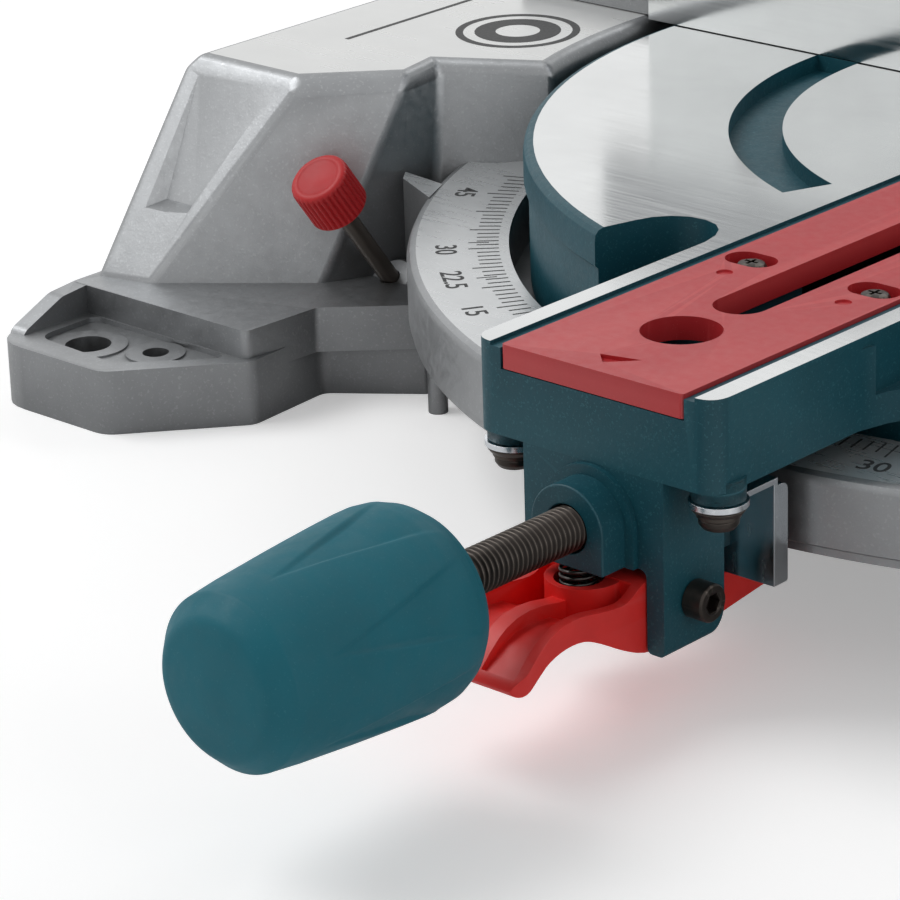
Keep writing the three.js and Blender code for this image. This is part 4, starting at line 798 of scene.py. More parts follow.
def turntable():
    disc = turned("z", [(0, 90), (180, 90), (181.7, 89.4), (182.7, 88.2), (183, 86.4), (183, 79.6),
                        (181.6, 78.2), (181.6, 50), (176, 50), (176, 80), (0, 80)], sides=288)
    hub = cylinder("z", 22, 44.4, 81)
    arm = prism("z", rounded([(-38.7, -252), (38.7, -252), (38.7, -150), (-38.7, -150)], (6.5, 6.5, 0, 0),
                             8), ARM_BOTTOM, 90)
    flares = [prism("z", [(s * 37, -202), (s * 41, -186), (s * 46, -176), (s * 54, -168), (s * 37, -165)],
                    ARM_BOTTOM, 87) for s in (-1, 1)]
    under = box(-31.7, 31.7, BLOCK_REAR, -120, ARM_BOTTOM - 1, 66)
    arm = cut(join(arm, *flares), under)
    ears_shape = rounded([(-22.5, 66), (-22.5, 19), (-17, 19), (-17, BLOCK_BOTTOM), (17, BLOCK_BOTTOM),
                          (17, 19), (22.5, 19), (22.5, 66)], (0, 1.6, 1.6, 2.5, 2.5, 1.6, 1.6, 0))
    ears = prism("y", ears_shape, FRONT + 0.05, -228.5)
    ear_corner = prism("x", [(-226, 17), (-235.5, 17)] + arc(7, -90, 0, 12, -235.5, 26) + [(-226, 26)], -24,
                       24)
    ears = cut(ears, ear_corner)
    block = box(-22.4, 22.4, -231, BLOCK_REAR, BLOCK_BOTTOM, 66)
    boss, skirt = [prism("y", [(-r, BLOCK_BOTTOM), (r, BLOCK_BOTTOM)] + arc(r, 0, 180, 24, 0, LOCK_Z),
                         FRONT - reach, FRONT + 4) for r, reach in ((11.5, 10), (14.2, 1.6))]
    rod_holes = [cylinder("y", 6.4, -275, -225, 0, LOCK_Z) for _ in range(4)]
    boss = rounded_solid(cut(boss, rod_holes[0]), 1.2, 4, 40)
    skirt = rounded_solid(cut(skirt, rod_holes[1]), 0.8, 3, 40)
    ears = cut(ears, rod_holes[2], cylinder("x", 3.3, -40, 40, PIVOT_Y, PIVOT_Z, 48))
    ears = rounded_solid(ears, 0.9, 3, 35)
    block = cut(block, rod_holes[3], cylinder("y", 8.4, -236, -225, 0, LOCK_Z))
    posts = [cylinder("z", 6.8, 62, 68, s * PLATE_SCREW_X, PLATE_SCREW_Y, 48) for s in (-1, 1)]
    rear = box(-40, 40, 150, 227, ARM_BOTTOM, 88)
    rear = cut(rear, box(-32, 32, 140, 218, 64, 78))
    trunnion = cylinder("y", 42, 226, 246, 0, TABLE_TOP, 128)
    trunnion = rounded_solid(cut(trunnion, cylinder("y", 8.3, 206, 256, 0, TABLE_TOP)), 1.2, 4, 40)
    rear = rounded_solid(rear, 1.2, 3, 40)
    body = join(disc, hub, arm)
    bed = box(-29.3, 29.3, -253, 95.3, 83.3, 91)
    lip = box(-32.6, 32.6, -253, 98, 88.9, 91)
    channel = box(-14, 14, -229, 90, 69, 91)
    tools = [bed, lip, channel, cylinder("z", 6.4, 40, 66)]
    pockets = []
    for s in (-1, 1):
        pocket = prism("z", [(-s * x, y) for x, y in POCKET], 71, 82)
        pockets.append(combine(pocket, [cylinder("z", 182, 60, 88, sides=192)], "INTERSECT"))
        tools.append(prism("z", [(-s * x, y) for x, y in NOTCH], 74, 92))
        angles = (180, 247) if s < 0 else (293, 360)
        groove = arc(124, angles[0], angles[1], 48) + arc(108.5, angles[1], angles[0], 48)
        tools.append(prism("z", groove, 85, 92))
        for y in KERF_SCREW_ROWS:
            tools.append(cylinder("z", 2.3, 70, 90, s * KERF_SCREW_X, y, 24))
    body = rounded_solid(cleaned(cut(join(body, *pockets), *tools)), 0.7, 3, 30)
    body = merged(body, ears, block, boss, skirt, rear, trunnion, *posts)
    wear(body, powder, polished)
    for face in body.data.polygons:
        flat = face.normal.z > 0.995 and face.center.z * 1000 > 89.9
        face.material_index = 1 if flat else 0
    finish(body, "turntable_body", "table", None, "turntable", 0, weld=False)


def kerf_plate():
    slot = arc(7.4, 180, 360, 24, 0, -193) + [(7.4, 83), (-7.4, 83)]
    plate = prism("z", rounded([(-29, -252), (29, -252), (29, 95), (-29, 95)], (1.2, 1.2, 0.5, 0.5)), 83.6,
                  90)
    tools = [prism("z", slot, 80, 92), cylinder("z", 10.5, 80, 92, 0, -217, 96),
             prism("z", [(-5, -242.4), (-0.6, -246.6), (6.2, -239.6)], 88.9, 92)]
    for y in KERF_SCREW_ROWS:
        for x in (-KERF_SCREW_X, KERF_SCREW_X):
            recess = arc(5, -90, 90, 24, x + 2.5, y) + arc(5, 90, 270, 24, x - 2.5, y)
            tools += [prism("z", recess, 86.6, 92), cylinder("z", 2.3, 80, 92, x, y, 24)]
    for x in (-19.2, 19.2):
        tools.append(cylinder("z", 2.2, 89.4, 92, x, -176, 32))
    obj = cut(plate, *tools)
    finish(obj, "kerf_plate_body", "table", red_plate, "kerf_plate", 0.45, 3)
    for side, x in (("left", -KERF_SCREW_X), ("right", KERF_SCREW_X)):
        for row, y in enumerate(KERF_SCREW_ROWS, 1):
            head = turned("z", [(0, 86.9), (4.1, 86.9), (4.1, 88.2), (3.5, 89.1), (2.2, 89.5), (0, 89.5)],
                          x, y, 48)
            head = cut(head, *[box(x - u, x + u, y - v, y + v, 88.0, 91)
                               for u, v in ((2.1, 0.45), (0.45, 2.1))])
            screw = join(head, cylinder("z", 2, 73, 87.2, x, y, 24))
            finish(screw, f"cross_screw_{row}_{side}", "table", black_oxide, f"kerf_screw_{row}_{side}",
                   0.12, 2, planes=False)


# Threads are wound as the real ones are.
def thread(major, depth, pitch, low, high, place_of, steps=40, per_turn=10):
    """A screw thread along an axis, with place_of(r, angle, along) giving its points."""
    rows = int((high - low) / pitch * per_turn)
    points = []
    for k in range(rows + 1):
        a = low + (high - low) * k / rows
        for i in range(steps):
            angle = 2 * math.pi * i / steps
            phase = (a / pitch - i / steps) % 1.0
            fall = min(1.0, abs(phase - 0.5) * 2.6)
            blend = min(1.0, (a - low) / pitch, (high - a) / pitch)
            points.append(place_of(major - depth * fall * max(0.3, blend), angle, a))
    faces = strip_faces(rows + 1, steps)
    start = len(points)
    points += [place_of(0, 0, low), place_of(0, 0, high)]
    for i in range(steps):
        j = (i + 1) % steps
        faces.append((start, j, i))
        faces.append((start + 1, rows * steps + i, rows * steps + j))
    return mesh_of(points, faces)


def lock_rod():
    front, rear = span("lock_rod", 1)
    obj = thread(6.0, 0.95, 1.75, front, rear,
                 lambda r, t, a: (r * math.cos(t), a, LOCK_Z + r * math.sin(t)), 48, 12)
    finish(obj, "lock_screw", "lock_handle", black_oxide, "lock_rod", None)
    smooth(obj)


# The handle's side, as places of radius and distance forward from its back.
HANDLE_BACK = -310.0
HANDLE = [(6.3, 0), (8, 0.1), (11.5, 0.3), (15.5, 1.1), (19.2, 2.6), (22.2, 5.0), (24.3, 8.0), (25.5, 11.2),
          (26.0, 15), (25.95, 19), (25.55, 26), (25.0, 34), (24.4, 42), (23.7, 50), (23.0, 58), (22.3, 64),
          (21.95, 66.9), (21.85, 67.3), (21.5, 67.7), (18.4, 71.2), (17.6, 72.0), (16.6, 72.6),
          (15.4, 72.95), (12, 73.4), (8, 73.7), (3, 73.95), (0, 74.0)]


def fine_profile(profile, step=1.0):
    """The profile with points at most a step apart."""
    made = [profile[0]]
    for (r0, a0), (r1, a1) in zip(profile, profile[1:]):
        count = max(1, math.ceil(math.hypot(r1 - r0, a1 - a0) / step))
        made += [(r0 + (r1 - r0) * k / count, a0 + (a1 - a0) * k / count) for k in range(1, count + 1)]
    return made


def scallop(degrees, along_it):
    """How deep the handle is hollowed: six shallow hollows, pointed in front and wider behind."""
    grown = (59 - along_it) / 34
    if grown <= 0:
        return 0.0
    away = abs((degrees - 21.6 + 30) % 60 - 30)
    half = 16 * grown
    depth = 1.35 * min(1.0, grown) ** 0.7 * min(1.0, max(0.0, (along_it - 7) / 20)) ** 1.5
    edge = min(1.0, max(0.0, (half - away) / 3.2))
    return depth * edge * edge * (3 - 2 * edge)


def lock_handle():
    sides = 360
    profile = fine_profile(HANDLE)
    count = len(profile)
    points = []
    for i in range(sides):
        degrees = 360 * i / sides
        for r, along_it in profile:
            r -= scallop(degrees, along_it) if 7 < along_it < 60 else 0
            points.append((r * math.cos(rad(degrees)), HANDLE_BACK - along_it,
                           LOCK_Z + r * math.sin(rad(degrees))))
    faces = turned_faces(sides, count, closed=False)
    inner = len(points)
    for i in range(sides):
        points.append((6.3 * math.cos(rad(i)), HANDLE_BACK - 40, LOCK_Z + 6.3 * math.sin(rad(i))))
    faces.append(tuple(range(inner, inner + sides)))
    for i in range(sides):
        j = (i + 1) % sides
        faces.append((i * count, inner + i, inner + j, j * count))
    obj = mesh_of(points, faces)
    smooth(obj)
    finish(obj, "handle_grip_teal", "lock_handle", rubber, "lock_handle", None)


def curve(points, steps=3):
    """A smooth (Catmull-Rom) line through the points."""
    made = [points[0]]
    ends = [points[0], *points, points[-1]]

    def between(p, q, r, s, t):
        square, cube = 2 * p - 5 * q + 4 * r - s, 3 * q - p - 3 * r + s
        return 0.5 * (2 * q + (r - p) * t + square * t ** 2 + cube * t ** 3)

    for four in zip(ends, ends[1:], ends[2:], ends[3:]):
        for k in range(1, steps + 1):
            made.append(tuple(between(*values, k / steps) for values in zip(*four)))
    return made


# The lever from the side, as places from its pivot.
LEVER_TOP = [(2, 6.6), (-7, 7.0), (-12.7, 5.9), (-16, 4.0), (-20, 2.9), (-27.9, 3.9), (-33, 4.9),
             (-37.8, 5.3), (-42.5, 4.9), (-46.3, 3.7), (-49.5, 1.9), (-52.6, -0.6), (-55.4, -3.2),
             (-58.2, -5.6)]
LEVER_UNDER = [(-58.9, -7.0), (-58.2, -8.2), (-56.4, -8.6), (-53.8, -7.2), (-51, -5.1), (-47, -2.6),
               (-41, -1.2), (-34.5, -1.6), (-28.5, -4.2), (-20, -9.0), (-12, -12.4), (-2, -13.6),
               (8, -13.2)]
LEVER_REAR = [(26, -11), (44, -9), (44, -3), (26, -2), (12, -1)]
TRAY = [(-13, 12), (-13, -6.5), (-20, -5.5), (-25, -3.0), (-31, -0.2), (-38, 0.6), (-43, 0.2), (-48, -1.4),
        (-52, -3.9), (-56, -6.4), (-57, -5.4), (-57, 12)]
ABOVE_RIB = [(-13, 12), (-13, -6.5), (-21.5, -5.2), (-21.5, 1.8), (-28, 2.6), (-33, 3.6), (-37.8, 4.0),
             (-42.5, 3.6), (-46.3, 2.4), (-49.5, 0.6), (-52.6, -1.9), (-55.4, -4.5), (-57, -6.0), (-57, 12)]
RIB, TRAY_SIDE = 2.2, 13.6


def lever_slab(outline, low, high):
    return prism("x", [(PIVOT_Y + y, PIVOT_Z + z) for y, z in outline], low, high)


def lever_body():
    blade = lever_slab(curve(LEVER_TOP) + curve(LEVER_UNDER) + LEVER_REAR, -16.5, 16.5)
    blade = cut(blade, lever_slab(TRAY, -TRAY_SIDE, -RIB), lever_slab(TRAY, RIB, TRAY_SIDE),
                lever_slab(ABOVE_RIB, -RIB - 0.1, RIB + 0.1))
    barrel = cylinder("x", 7, -16.5, 16.5, PIVOT_Y, PIVOT_Z)
    cup = cylinder("z", 10, PIVOT_Z - 8, PIVOT_Z + 5.4, 0, PIVOT_Y - 15, 96)
    nose = box(-7, 7, PIVOT_Y + 29, PIVOT_Y + 40, PIVOT_Z - 8, 37.9)
    corners = [prism("z", [(side * 17, PIVOT_Y - 60), (side * 12, PIVOT_Y - 60),
                           (side * 14.6, PIVOT_Y - 58.2), (side * 16.2, PIVOT_Y - 55.6),
                           (side * 17, PIVOT_Y - 52.5)], 20, 50) for side in (-1, 1)]
    blade = cut(blade, *corners)
    body = join(blade, barrel, cup, nose)
    body = cut(body, cylinder("z", 6.4, PIVOT_Z - 1, PIVOT_Z + 12, 0, SPRING_Y),
               cylinder("x", 3.3, -40, 40, PIVOT_Y, PIVOT_Z, 32))
    finish(body, "lever_red", "detent_lever", red_plastic_painted_light, "detent_lever", 0.7, 3, 32)


def lever_screw():
    head = turned("x", [(0, 22.8), (5, 22.8), (5, 28.2), (4.6, 28.8), (3.0, 28.8), (2.9, 28.6), (0, 28.6)],
                  PIVOT_Y, PIVOT_Z, 96)
    socket = cylinder("x", 2.75, 25.4, 29, PIVOT_Y, PIVOT_Z, 6)
    head = cut(head, socket)
    shank = cylinder("x", 3, -26.8, 23.5, PIVOT_Y, PIVOT_Z, 48)
    obj = join(head, shank)
    finish(obj, "socket_screw", "table", black_oxide, "lever_screw", 0.2, 2,
           planes=False)


def spring_plate():
    front, gauge, top, bottom = BLOCK_REAR + 0.3, 1.5, 61.7, 33
    panel = box(-36, 36, front, front + gauge, bottom, top)
    sides = []
    for s in (-1, 1):
        x0, x1 = sorted((s * 34.5, s * 36))
        flag = prism("x", rounded([(front, top - 2), (front, bottom), (front + 5.5, bottom),
                                   (front + 5.5, top - 2)], (0, 0, 0.8, 4.5)), x0, x1)
        tab = cylinder("z", 7.5, top - gauge, top, s * PLATE_SCREW_X, PLATE_SCREW_Y, 64)
        x2, x3 = sorted((s * 26, s * 36))
        sides += [flag, tab, box(x2, x3, PLATE_SCREW_Y, front + gauge, top - gauge, top)]
    body = join(panel, *sides)
    body = cut(body, cylinder("y", 10, front - 2, front + 3, 0, LOCK_Z),
               box(-17.5, 17.5, front - 2, front + 3, bottom - 1, 38),
               *[cylinder("z", 2.9, top - 4, top + 2, s * PLATE_SCREW_X, PLATE_SCREW_Y, 32)
                 for s in (-1, 1)])
    finish(body, "zinc_spring_plate", "table", zinc, "spring_plate", 0.3, 2)


def plate_screws():
    top = 59.9
    for side, x in (("left", -PLATE_SCREW_X), ("right", PLATE_SCREW_X)):
        washer = turned("z", [(2.8, top), (6.6, top), (7.0, top - 0.4), (6.2, top - 1.5), (2.8, top - 1.5)],
                        x, PLATE_SCREW_Y, 72)
        lock = turned("z", [(2.8, top - 1.6), (5.6, top - 1.6), (5.6, top - 2.7), (2.8, top - 2.7)], x,
                      PLATE_SCREW_Y, 48)
        head = turned("z", [(0, top - 2.5), (4.6, top - 2.5), (5.1, top - 3.2), (5.1, top - 4.4),
                            (4.2, top - 5.6), (2.4, top - 6.0), (0, top - 6.0)], x, PLATE_SCREW_Y, 72)
        shank = cylinder("z", 2.6, top - 3, 75.5, x, PLATE_SCREW_Y, 32)
        obj = merged(washer, lock, head, shank)
        finish(obj, "pan_screw_" + side, "table", black_oxide, "plate_screw_" + side, 0.15, 2)


def thumbscrews():
    for side, name in ((-1, "left"), (1, "right")):
        knob = thumb_solid(side, [(0, 36.0), (8.4, 36.0), (9.3, 36.8), (9.3, 37.6), (9.3, 44), (9.3, 49.0),
                                  (9.0, 50.0), (8.3, 50.7), (6.6, 51.0), (6.2, 50.6), (0, 50.5)], 264, 33,
                           0.55, (37.2, 49.2))
        finish(knob, "thumb_grip_" + name, "thumbscrew_" + name, red, "thumb_knob_" + name, 0,
               weld=False)
        stem = thumb_solid(side, [(0, -10), (2.9, -10), (2.9, 45), (0, 45)], 48)
        finish(stem, "thumb_rod_" + name, "thumbscrew_" + name, black_oxide, "thumb_stem_" + name, 0,
               weld=False)


turntable()
kerf_plate()
lock_rod()
lock_handle()
lever_body()
lever_screw()
spring_plate()
plate_screws()
thumbscrews()


# Fence
FENCE_FLOOR, FENCE_BOLT = 90.3, (234, 26)
CLAMP = (-150, 122)
RIB_X = 177


def fence():
    faces = []
    for s, height in ((-1, 140), (1, 165)):
        outline = [(s * 38, FENCE_FLOOR), (s * 191, FENCE_FLOOR), (s * 191, height), (s * 38, height)]
        if s < 0:
            outline = [(-38, FENCE_FLOOR), (-191, FENCE_FLOOR), (-191, 140), (-100, 140), (-38, 100.3)]
        radii = [0, 0, 5, 2, 2] if s < 0 else [0, 0, 5, 3]
        face = prism("y", rounded(outline, radii), 0, 9)
        ledge = prism("z", rounded([(s * 38, 2), (s * 191, 2), (s * 191, 21), (s * 38, 21)], (0, 0, 4, 3)),
                      FENCE_FLOOR, FENCE_FLOOR + 8)
        foot = prism("z", rounded([(s * 167, 4), (s * 250, 4), (s * 250, 42), (s * 167, 42)], (0, 5, 9, 6)),
                     FENCE_FLOOR, FENCE_FLOOR + 8)
        rib = prism("x", [(8, 97), (36, 97), (32, 100), (8, height - 34)], s * RIB_X - 4, s * RIB_X + 4)
        link_outline = [(s * 60, 9), (s * 38, 9), (s * 92, 70), (s * 92, 96), (-s * 1, 96), (-s * 1, 112),
                        (s * 114, 112), (s * 114, 70)]
        bridge = prism("z", rounded(link_outline, (0, 0, 6, 6, 0, 0, 8, 8)), FENCE_FLOOR, FENCE_FLOOR + 8)
        faces.append(join(face, ledge, foot, bridge, rib))
    bolt_x, bolt_y = FENCE_BOLT
    tools = [cylinder("z", 3.4, 80, 110, x, bolt_y, 32) for x in (-bolt_x, bolt_x)]
    body = cut(join(*faces), *tools, cylinder("y", 3.3, -1, 30, *CLAMP, 32),
               cylinder("y", 6.4, -1, 4.5, *CLAMP, 48))
    wear(body, cast, polished)
    for face in body.data.polygons:
        in_front = face.normal.y < -0.99 and abs(face.center.y - SHIFT_Y / 1000) < 0.0002
        face.material_index = 1 if in_front else 0
    finish(body, "fence_body", "base", None, "fence", 0.6, 3, 30)


fence()


# Head: its chop pivot, blade centre and motor axis at the raised rest, as places of y and z
PIVOT = (205.0, 292.0)
BLADE = (22.213, 358.1145)
MOTOR = (58.26, 368.451)
LOOP_BOTTOM, LOOP_TOP = 505.1145, 583.1145
TEETH = 48


def sector(inner, outer, start, end, steps=72, at=BLADE):
    return arc(outer, start, end, steps, *at) + arc(inner, end, start, steps, *at)


def slab(outline, low, high):
    return prism("x", outline, low, high)


def blade():
    """The plate with its expansion slots, and the carbide tips."""
    outline = []
    for i in range(TEETH):
        start = -360 * i / TEETH
        for r, turn in ((127.5, 0), (121.0, -0.6), (119.6, -1.6), (120.4, -3.0), (124.4, -4.6),
                        (126.4, -6.4), (126.9, -7.1)):
            outline.append(polar(r, start + turn, *BLADE))
    plate = slab(outline, -0.9, 0.9)
    tools = [cylinder("x", 8.3, -3, 3, *BLADE, 64)]
    for k in range(4):
        turn = 20 + 90 * k
        slot = []
        for side in (1, -1):
            for step in range(9):
                t = step / 8 if side > 0 else 1 - step / 8
                r, bend = 100 + 24 * t, turn + 7 * math.sin(math.pi * t)
                slot.append(polar(r, bend + side * 0.25, *BLADE))
        tools.append(slab(slot, -3, 3))
        tools.append(cylinder("x", 2, -3, 3, *polar(100, turn, *BLADE), 32))
    plate = cut(plate, *tools)
    finish(plate, "saw_blade", "blade", blade_steel, "blade", 0.12, 2)
    tips = []
    for i in range(TEETH):
        start = -360 * i / TEETH
        corners = [polar(r, start + turn, *BLADE)
                   for r, turn in ((127.5, 0), (120.8, -0.55), (121.0, -1.5), (127.1, -1.15))]
        tips.append(slab(corners, -1.3, 1.3))
    finish(merged(*tips), "carbide_tips", "blade", carbide, None, 0.15, 2)


def guards():
    half, wall = 12.6, 2.2
    outer = half + wall
    start, end = -59, 145
    rim = slab(sector(138, 142, start, end), -outer, outer)
    left = slab(sector(50, 140, start, end), -outer, -half)
    right = slab(sector(34, 140, start, end), half, outer)
    ribs = []
    for s in (-1, 1):
        low, high = sorted((s * outer, s * (outer + 1.2)))
        ribs.append(slab(sector(131, 138, -52, 138), low, high))
        ribs.append(slab(sector(60, 64, -40, 130), low, high))
        for angle in (20, 62, 104):
            spoke = [polar(v, angle + 90, *polar(98 + u, angle, *BLADE))
                     for u, v in ((-38, -2), (38, -2), (38, 2), (-38, 2))]
            ribs.append(slab(spoke, low, high))
    body = join(rim, left, right, *ribs)
    port = cylinder("y", 12, BLADE[0] + 60, BLADE[0] + 142, 0, BLADE[1] + 100, 64)
    body = cut(body, port)
    finish(body, "upper_guard_teal", "head", powder, "upper_guard", 0.6, 2, 32)
    half, start, end = 12, 141, 303
    rim = slab(sector(131.3, 133.5, start, end), -half, half)
    left = slab(sector(62, 132.5, start, end), -half, -10)
    right = slab(sector(26, 132.5, start, end), 10, half)
    hub = cylinder("x", 30, 10, half, *BLADE, 96)
    body = cut(join(rim, left, right, hub), cylinder("x", 22.4, 0, 20, *BLADE, 96))
    slots = [slab(sector(88, 112, a, a + 5, 6), -40, 40) for a in (160, 176, 192, 252, 268, 284)]
    body = cut(body, *slots)
    finish(body, "lower_guard_body", "lower_guard", zinc, "lower_guard", 0.5, 2, 32)


def dust_spout():
    start = BLADE[0] + 88
    profile = [(17.5, start), (20, start), (20, start + 50), (21.2, start + 51), (21.2, start + 54),
               (20, start + 55), (20, start + 66), (17.5, start + 66)]
    tube = turned("y", profile, 0, BLADE[1] + 100, 96)
    obj = cut(tube, cylinder("x", 142.3, -40, 40, *BLADE, 192))
    finish(obj, "dust_tube", "head", black, "dust_spout", 0.5, 3)


def motor():
    face, length = 45.3, 140
    end = face + length
    wall = turned("x", [(0, face), (46, face), (46, face + 4), (45.2, face + 5), (45.2, end - 9),
                        (46, end - 8), (46, end), (0, end)], *MOTOR, 144)
    plate = cylinder("x", 37, face, face + 5, *BLADE, 128)
    body = join(wall, plate)
    tools = [cylinder("x", 42, face + 5, end + 1, *MOTOR, 128),
             cylinder("x", 5.4, face - 1, face + 6, *MOTOR, 48)]

    def turned_tool(tool, angle):
        return turn_round(tool, rad(angle), "X", place(0, *MOTOR))

    for angle in (-50, -25, 0, 25, 50):
        slot = box(face + 10, face + 26, MOTOR[0] - 2.5, MOTOR[0] + 2.5, MOTOR[1] + 38, MOTOR[1] + 60)
        tools.append(turned_tool(slot, angle + 180))
    for angle in (0, 180):
        tools.append(turned_tool(cylinder("z", 6.4, MOTOR[1] + 34, MOTOR[1] + 48, face + 115, MOTOR[0], 48),
                                 angle))
    for k in [k for k in range(36) if k % 9]:
        groove = box(face + 34, face + 104, MOTOR[0] - 1.2, MOTOR[0] + 1.2, MOTOR[1] + 44.4, MOTOR[1] + 50)
        tools.append(turned_tool(groove, 10 * k))
    body = cut(body, *tools)
    finish(body, "motor_housing_black", "head", black, "motor_housing", 0.45, 2, 34)
    start = end + 0.3
    cap = turned("x", [(0, start), (46, start), (46, start + 6), (44.5, start + 9.5), (41, start + 11.6),
                       (38, start + 12.6), (34, start + 14.4), (28, start + 15), (0, start + 15)], *MOTOR,
                 144)
    tools = [cylinder("x", 5.4, start - 1, start + 8, *MOTOR, 48),
             cylinder("x", 32, start - 1, start + 3, *MOTOR, 96),
             cylinder("x", 5, start - 1, start + 17, MOTOR[0] + 26, MOTOR[1], 48)]
    for z in (-24, -12, 0, 12, 24):
        tools.append(box(start, start + 17, MOTOR[0] - 22, MOTOR[0] - 10, MOTOR[1] + z - 2,
                         MOTOR[1] + z + 2))
    cap = cut(cap, *tools)
    finish(cap, "motor_cap_black", "head", black, "motor_cap", 0.5, 3, 34)
    for name, angle in (("top", 0), ("bottom", 180)):
        stem = cylinder("z", 6, MOTOR[1] + 37, MOTOR[1] + 46.5, face + 115, MOTOR[0], 64)
        cover = cylinder("z", 8.5, MOTOR[1] + 46.3, MOTOR[1] + 49, face + 115, MOTOR[0], 64)
        driver = box(face + 109, face + 121, MOTOR[0] - 0.8, MOTOR[0] + 0.8, MOTOR[1] + 47.6, MOTOR[1] + 50)
        part = cut(join(stem, cover), driver)
        turned_tool(part, angle)
        finish(part, "brush_cover_" + name, "head", black, "brush_cap_" + name, 0.3, 2)


def head_casting():
    dy, dz = BLADE[0] - PIVOT[0], BLADE[1] - PIVOT[1]
    length = math.hypot(dy, dz)

    def along_beam(distance, side):
        return (PIVOT[0] + (dy * distance - dz * side) / length,
                PIVOT[1] + (dz * distance + dy * side) / length)

    knuckle = cylinder("x", 17, -25.5, 25.5, *PIVOT, 96)
    neck = slab([along_beam(2, 14), along_beam(44, 14), along_beam(44, -14), along_beam(2, -14)], -25.5,
                25.5)
    beam = slab([along_beam(34, 14), along_beam(length, 32), along_beam(length, -32), along_beam(34, -14)],
                16.5, 38)
    case = cylinder("x", 37, 16.5, 45, *BLADE, 128)
    seat = cylinder("x", 46, 39, 45, *MOTOR, 144)
    motor_neck = cylinder("x", 22, 16.5, 45, *MOTOR, 96)
    post = box(16.5, 38, BLADE[0] - 18, BLADE[0] + 22, BLADE[1], LOOP_BOTTOM - 0.3)
    snout = cylinder("x", 22, 8, 17.5, *BLADE, 96)
    body = join(knuckle, neck, beam, case, seat, motor_neck, post, snout)
    tools = [cylinder("x", 33, 20.5, 46, *BLADE, 96), cylinder("x", 12, 24.5, 46, *MOTOR, 64),
             cylinder("x", 10.4, 0, 45, *BLADE, 64), cylinder("x", 6.3, -60, 60, *PIVOT, 48),
             cylinder("y", 5.3, BLADE[0] - 43, BLADE[0] - 31, 34, BLADE[1], 48)]
    tools += [cylinder("x", 3.8, 5, 60, *polar(11.8, angle, *PIVOT), 32) for angle in (0, -45)]
    for side in (-1, 1):
        tools.append(slab([along_beam(58, side * 2.5), along_beam(length - 44, side * 2.5),
                           along_beam(length - 44, side * 17), along_beam(58, side * 10)], 35.5, 40))
    body = cut(body, *tools)
    finish(body, "head_body", "head", powder, "head_casting", 1.3, 3, 34)


def handle():
    front, rear = BLADE[0] - 70, BLADE[0] + 50
    outer = rounded([(front, LOOP_BOTTOM), (rear, LOOP_BOTTOM), (rear, LOOP_TOP), (front, LOOP_TOP)],
                    (22, 22, 24, 24), 12)
    low, high = LOOP_BOTTOM + 20, LOOP_TOP - 22
    inner = rounded([(front + 22, low), (rear - 22, low), (rear - 22, high), (front + 22, high)],
                    (10, 10, 8, 5), 8)
    loop = cut(slab(outer, -15, 15), slab(inner, -20, 20))
    rounded_solid(loop, 6.5, 6, 40)
    foot = box(0, 38, BLADE[0] - 18, BLADE[0] + 22, LOOP_BOTTOM, LOOP_BOTTOM + 16)
    rounded_solid(foot, 2.5, 3, 40)
    body = join(loop, foot)
    trigger_y = front + 24
    tools = [box(-6.4, 6.4, trigger_y - 0.4, trigger_y + 31.5, high - 1, high + 17),
             cylinder("x", 5.4, -16, -3, BLADE[0] + 22, high + 11, 48)]
    body = cut(body, *tools)
    finish(body, "handle_black", "head", black_grip, "handle", 0.4, 2, 40)
    outline = rounded([(trigger_y, high + 10), (trigger_y, high - 4), (trigger_y + 8, high - 12),
                       (trigger_y + 24, high - 11), (trigger_y + 30, high - 3),
                       (trigger_y + 30, high + 10)], (0, 4, 6, 6, 4, 0), 8)
    part = slab(outline, -6, 6)
    finish(part, "trigger_red", "trigger", red, "trigger", 1.2, 4, 30)
    part = turned("x", [(0, -18), (3.6, -18), (4.6, -17.6), (5, -16.8), (5, -7), (0, -7)], BLADE[0] + 22,
                  high + 11, 64)
    finish(part, "lock_off_red", "lock_off_button", red, "lock_off_button", None)


# Rear: the bevel arm, the rails and what rides on them
RAIL_X, RAIL_Z, SLIDE_LOCK_Y = 30, 250, 270


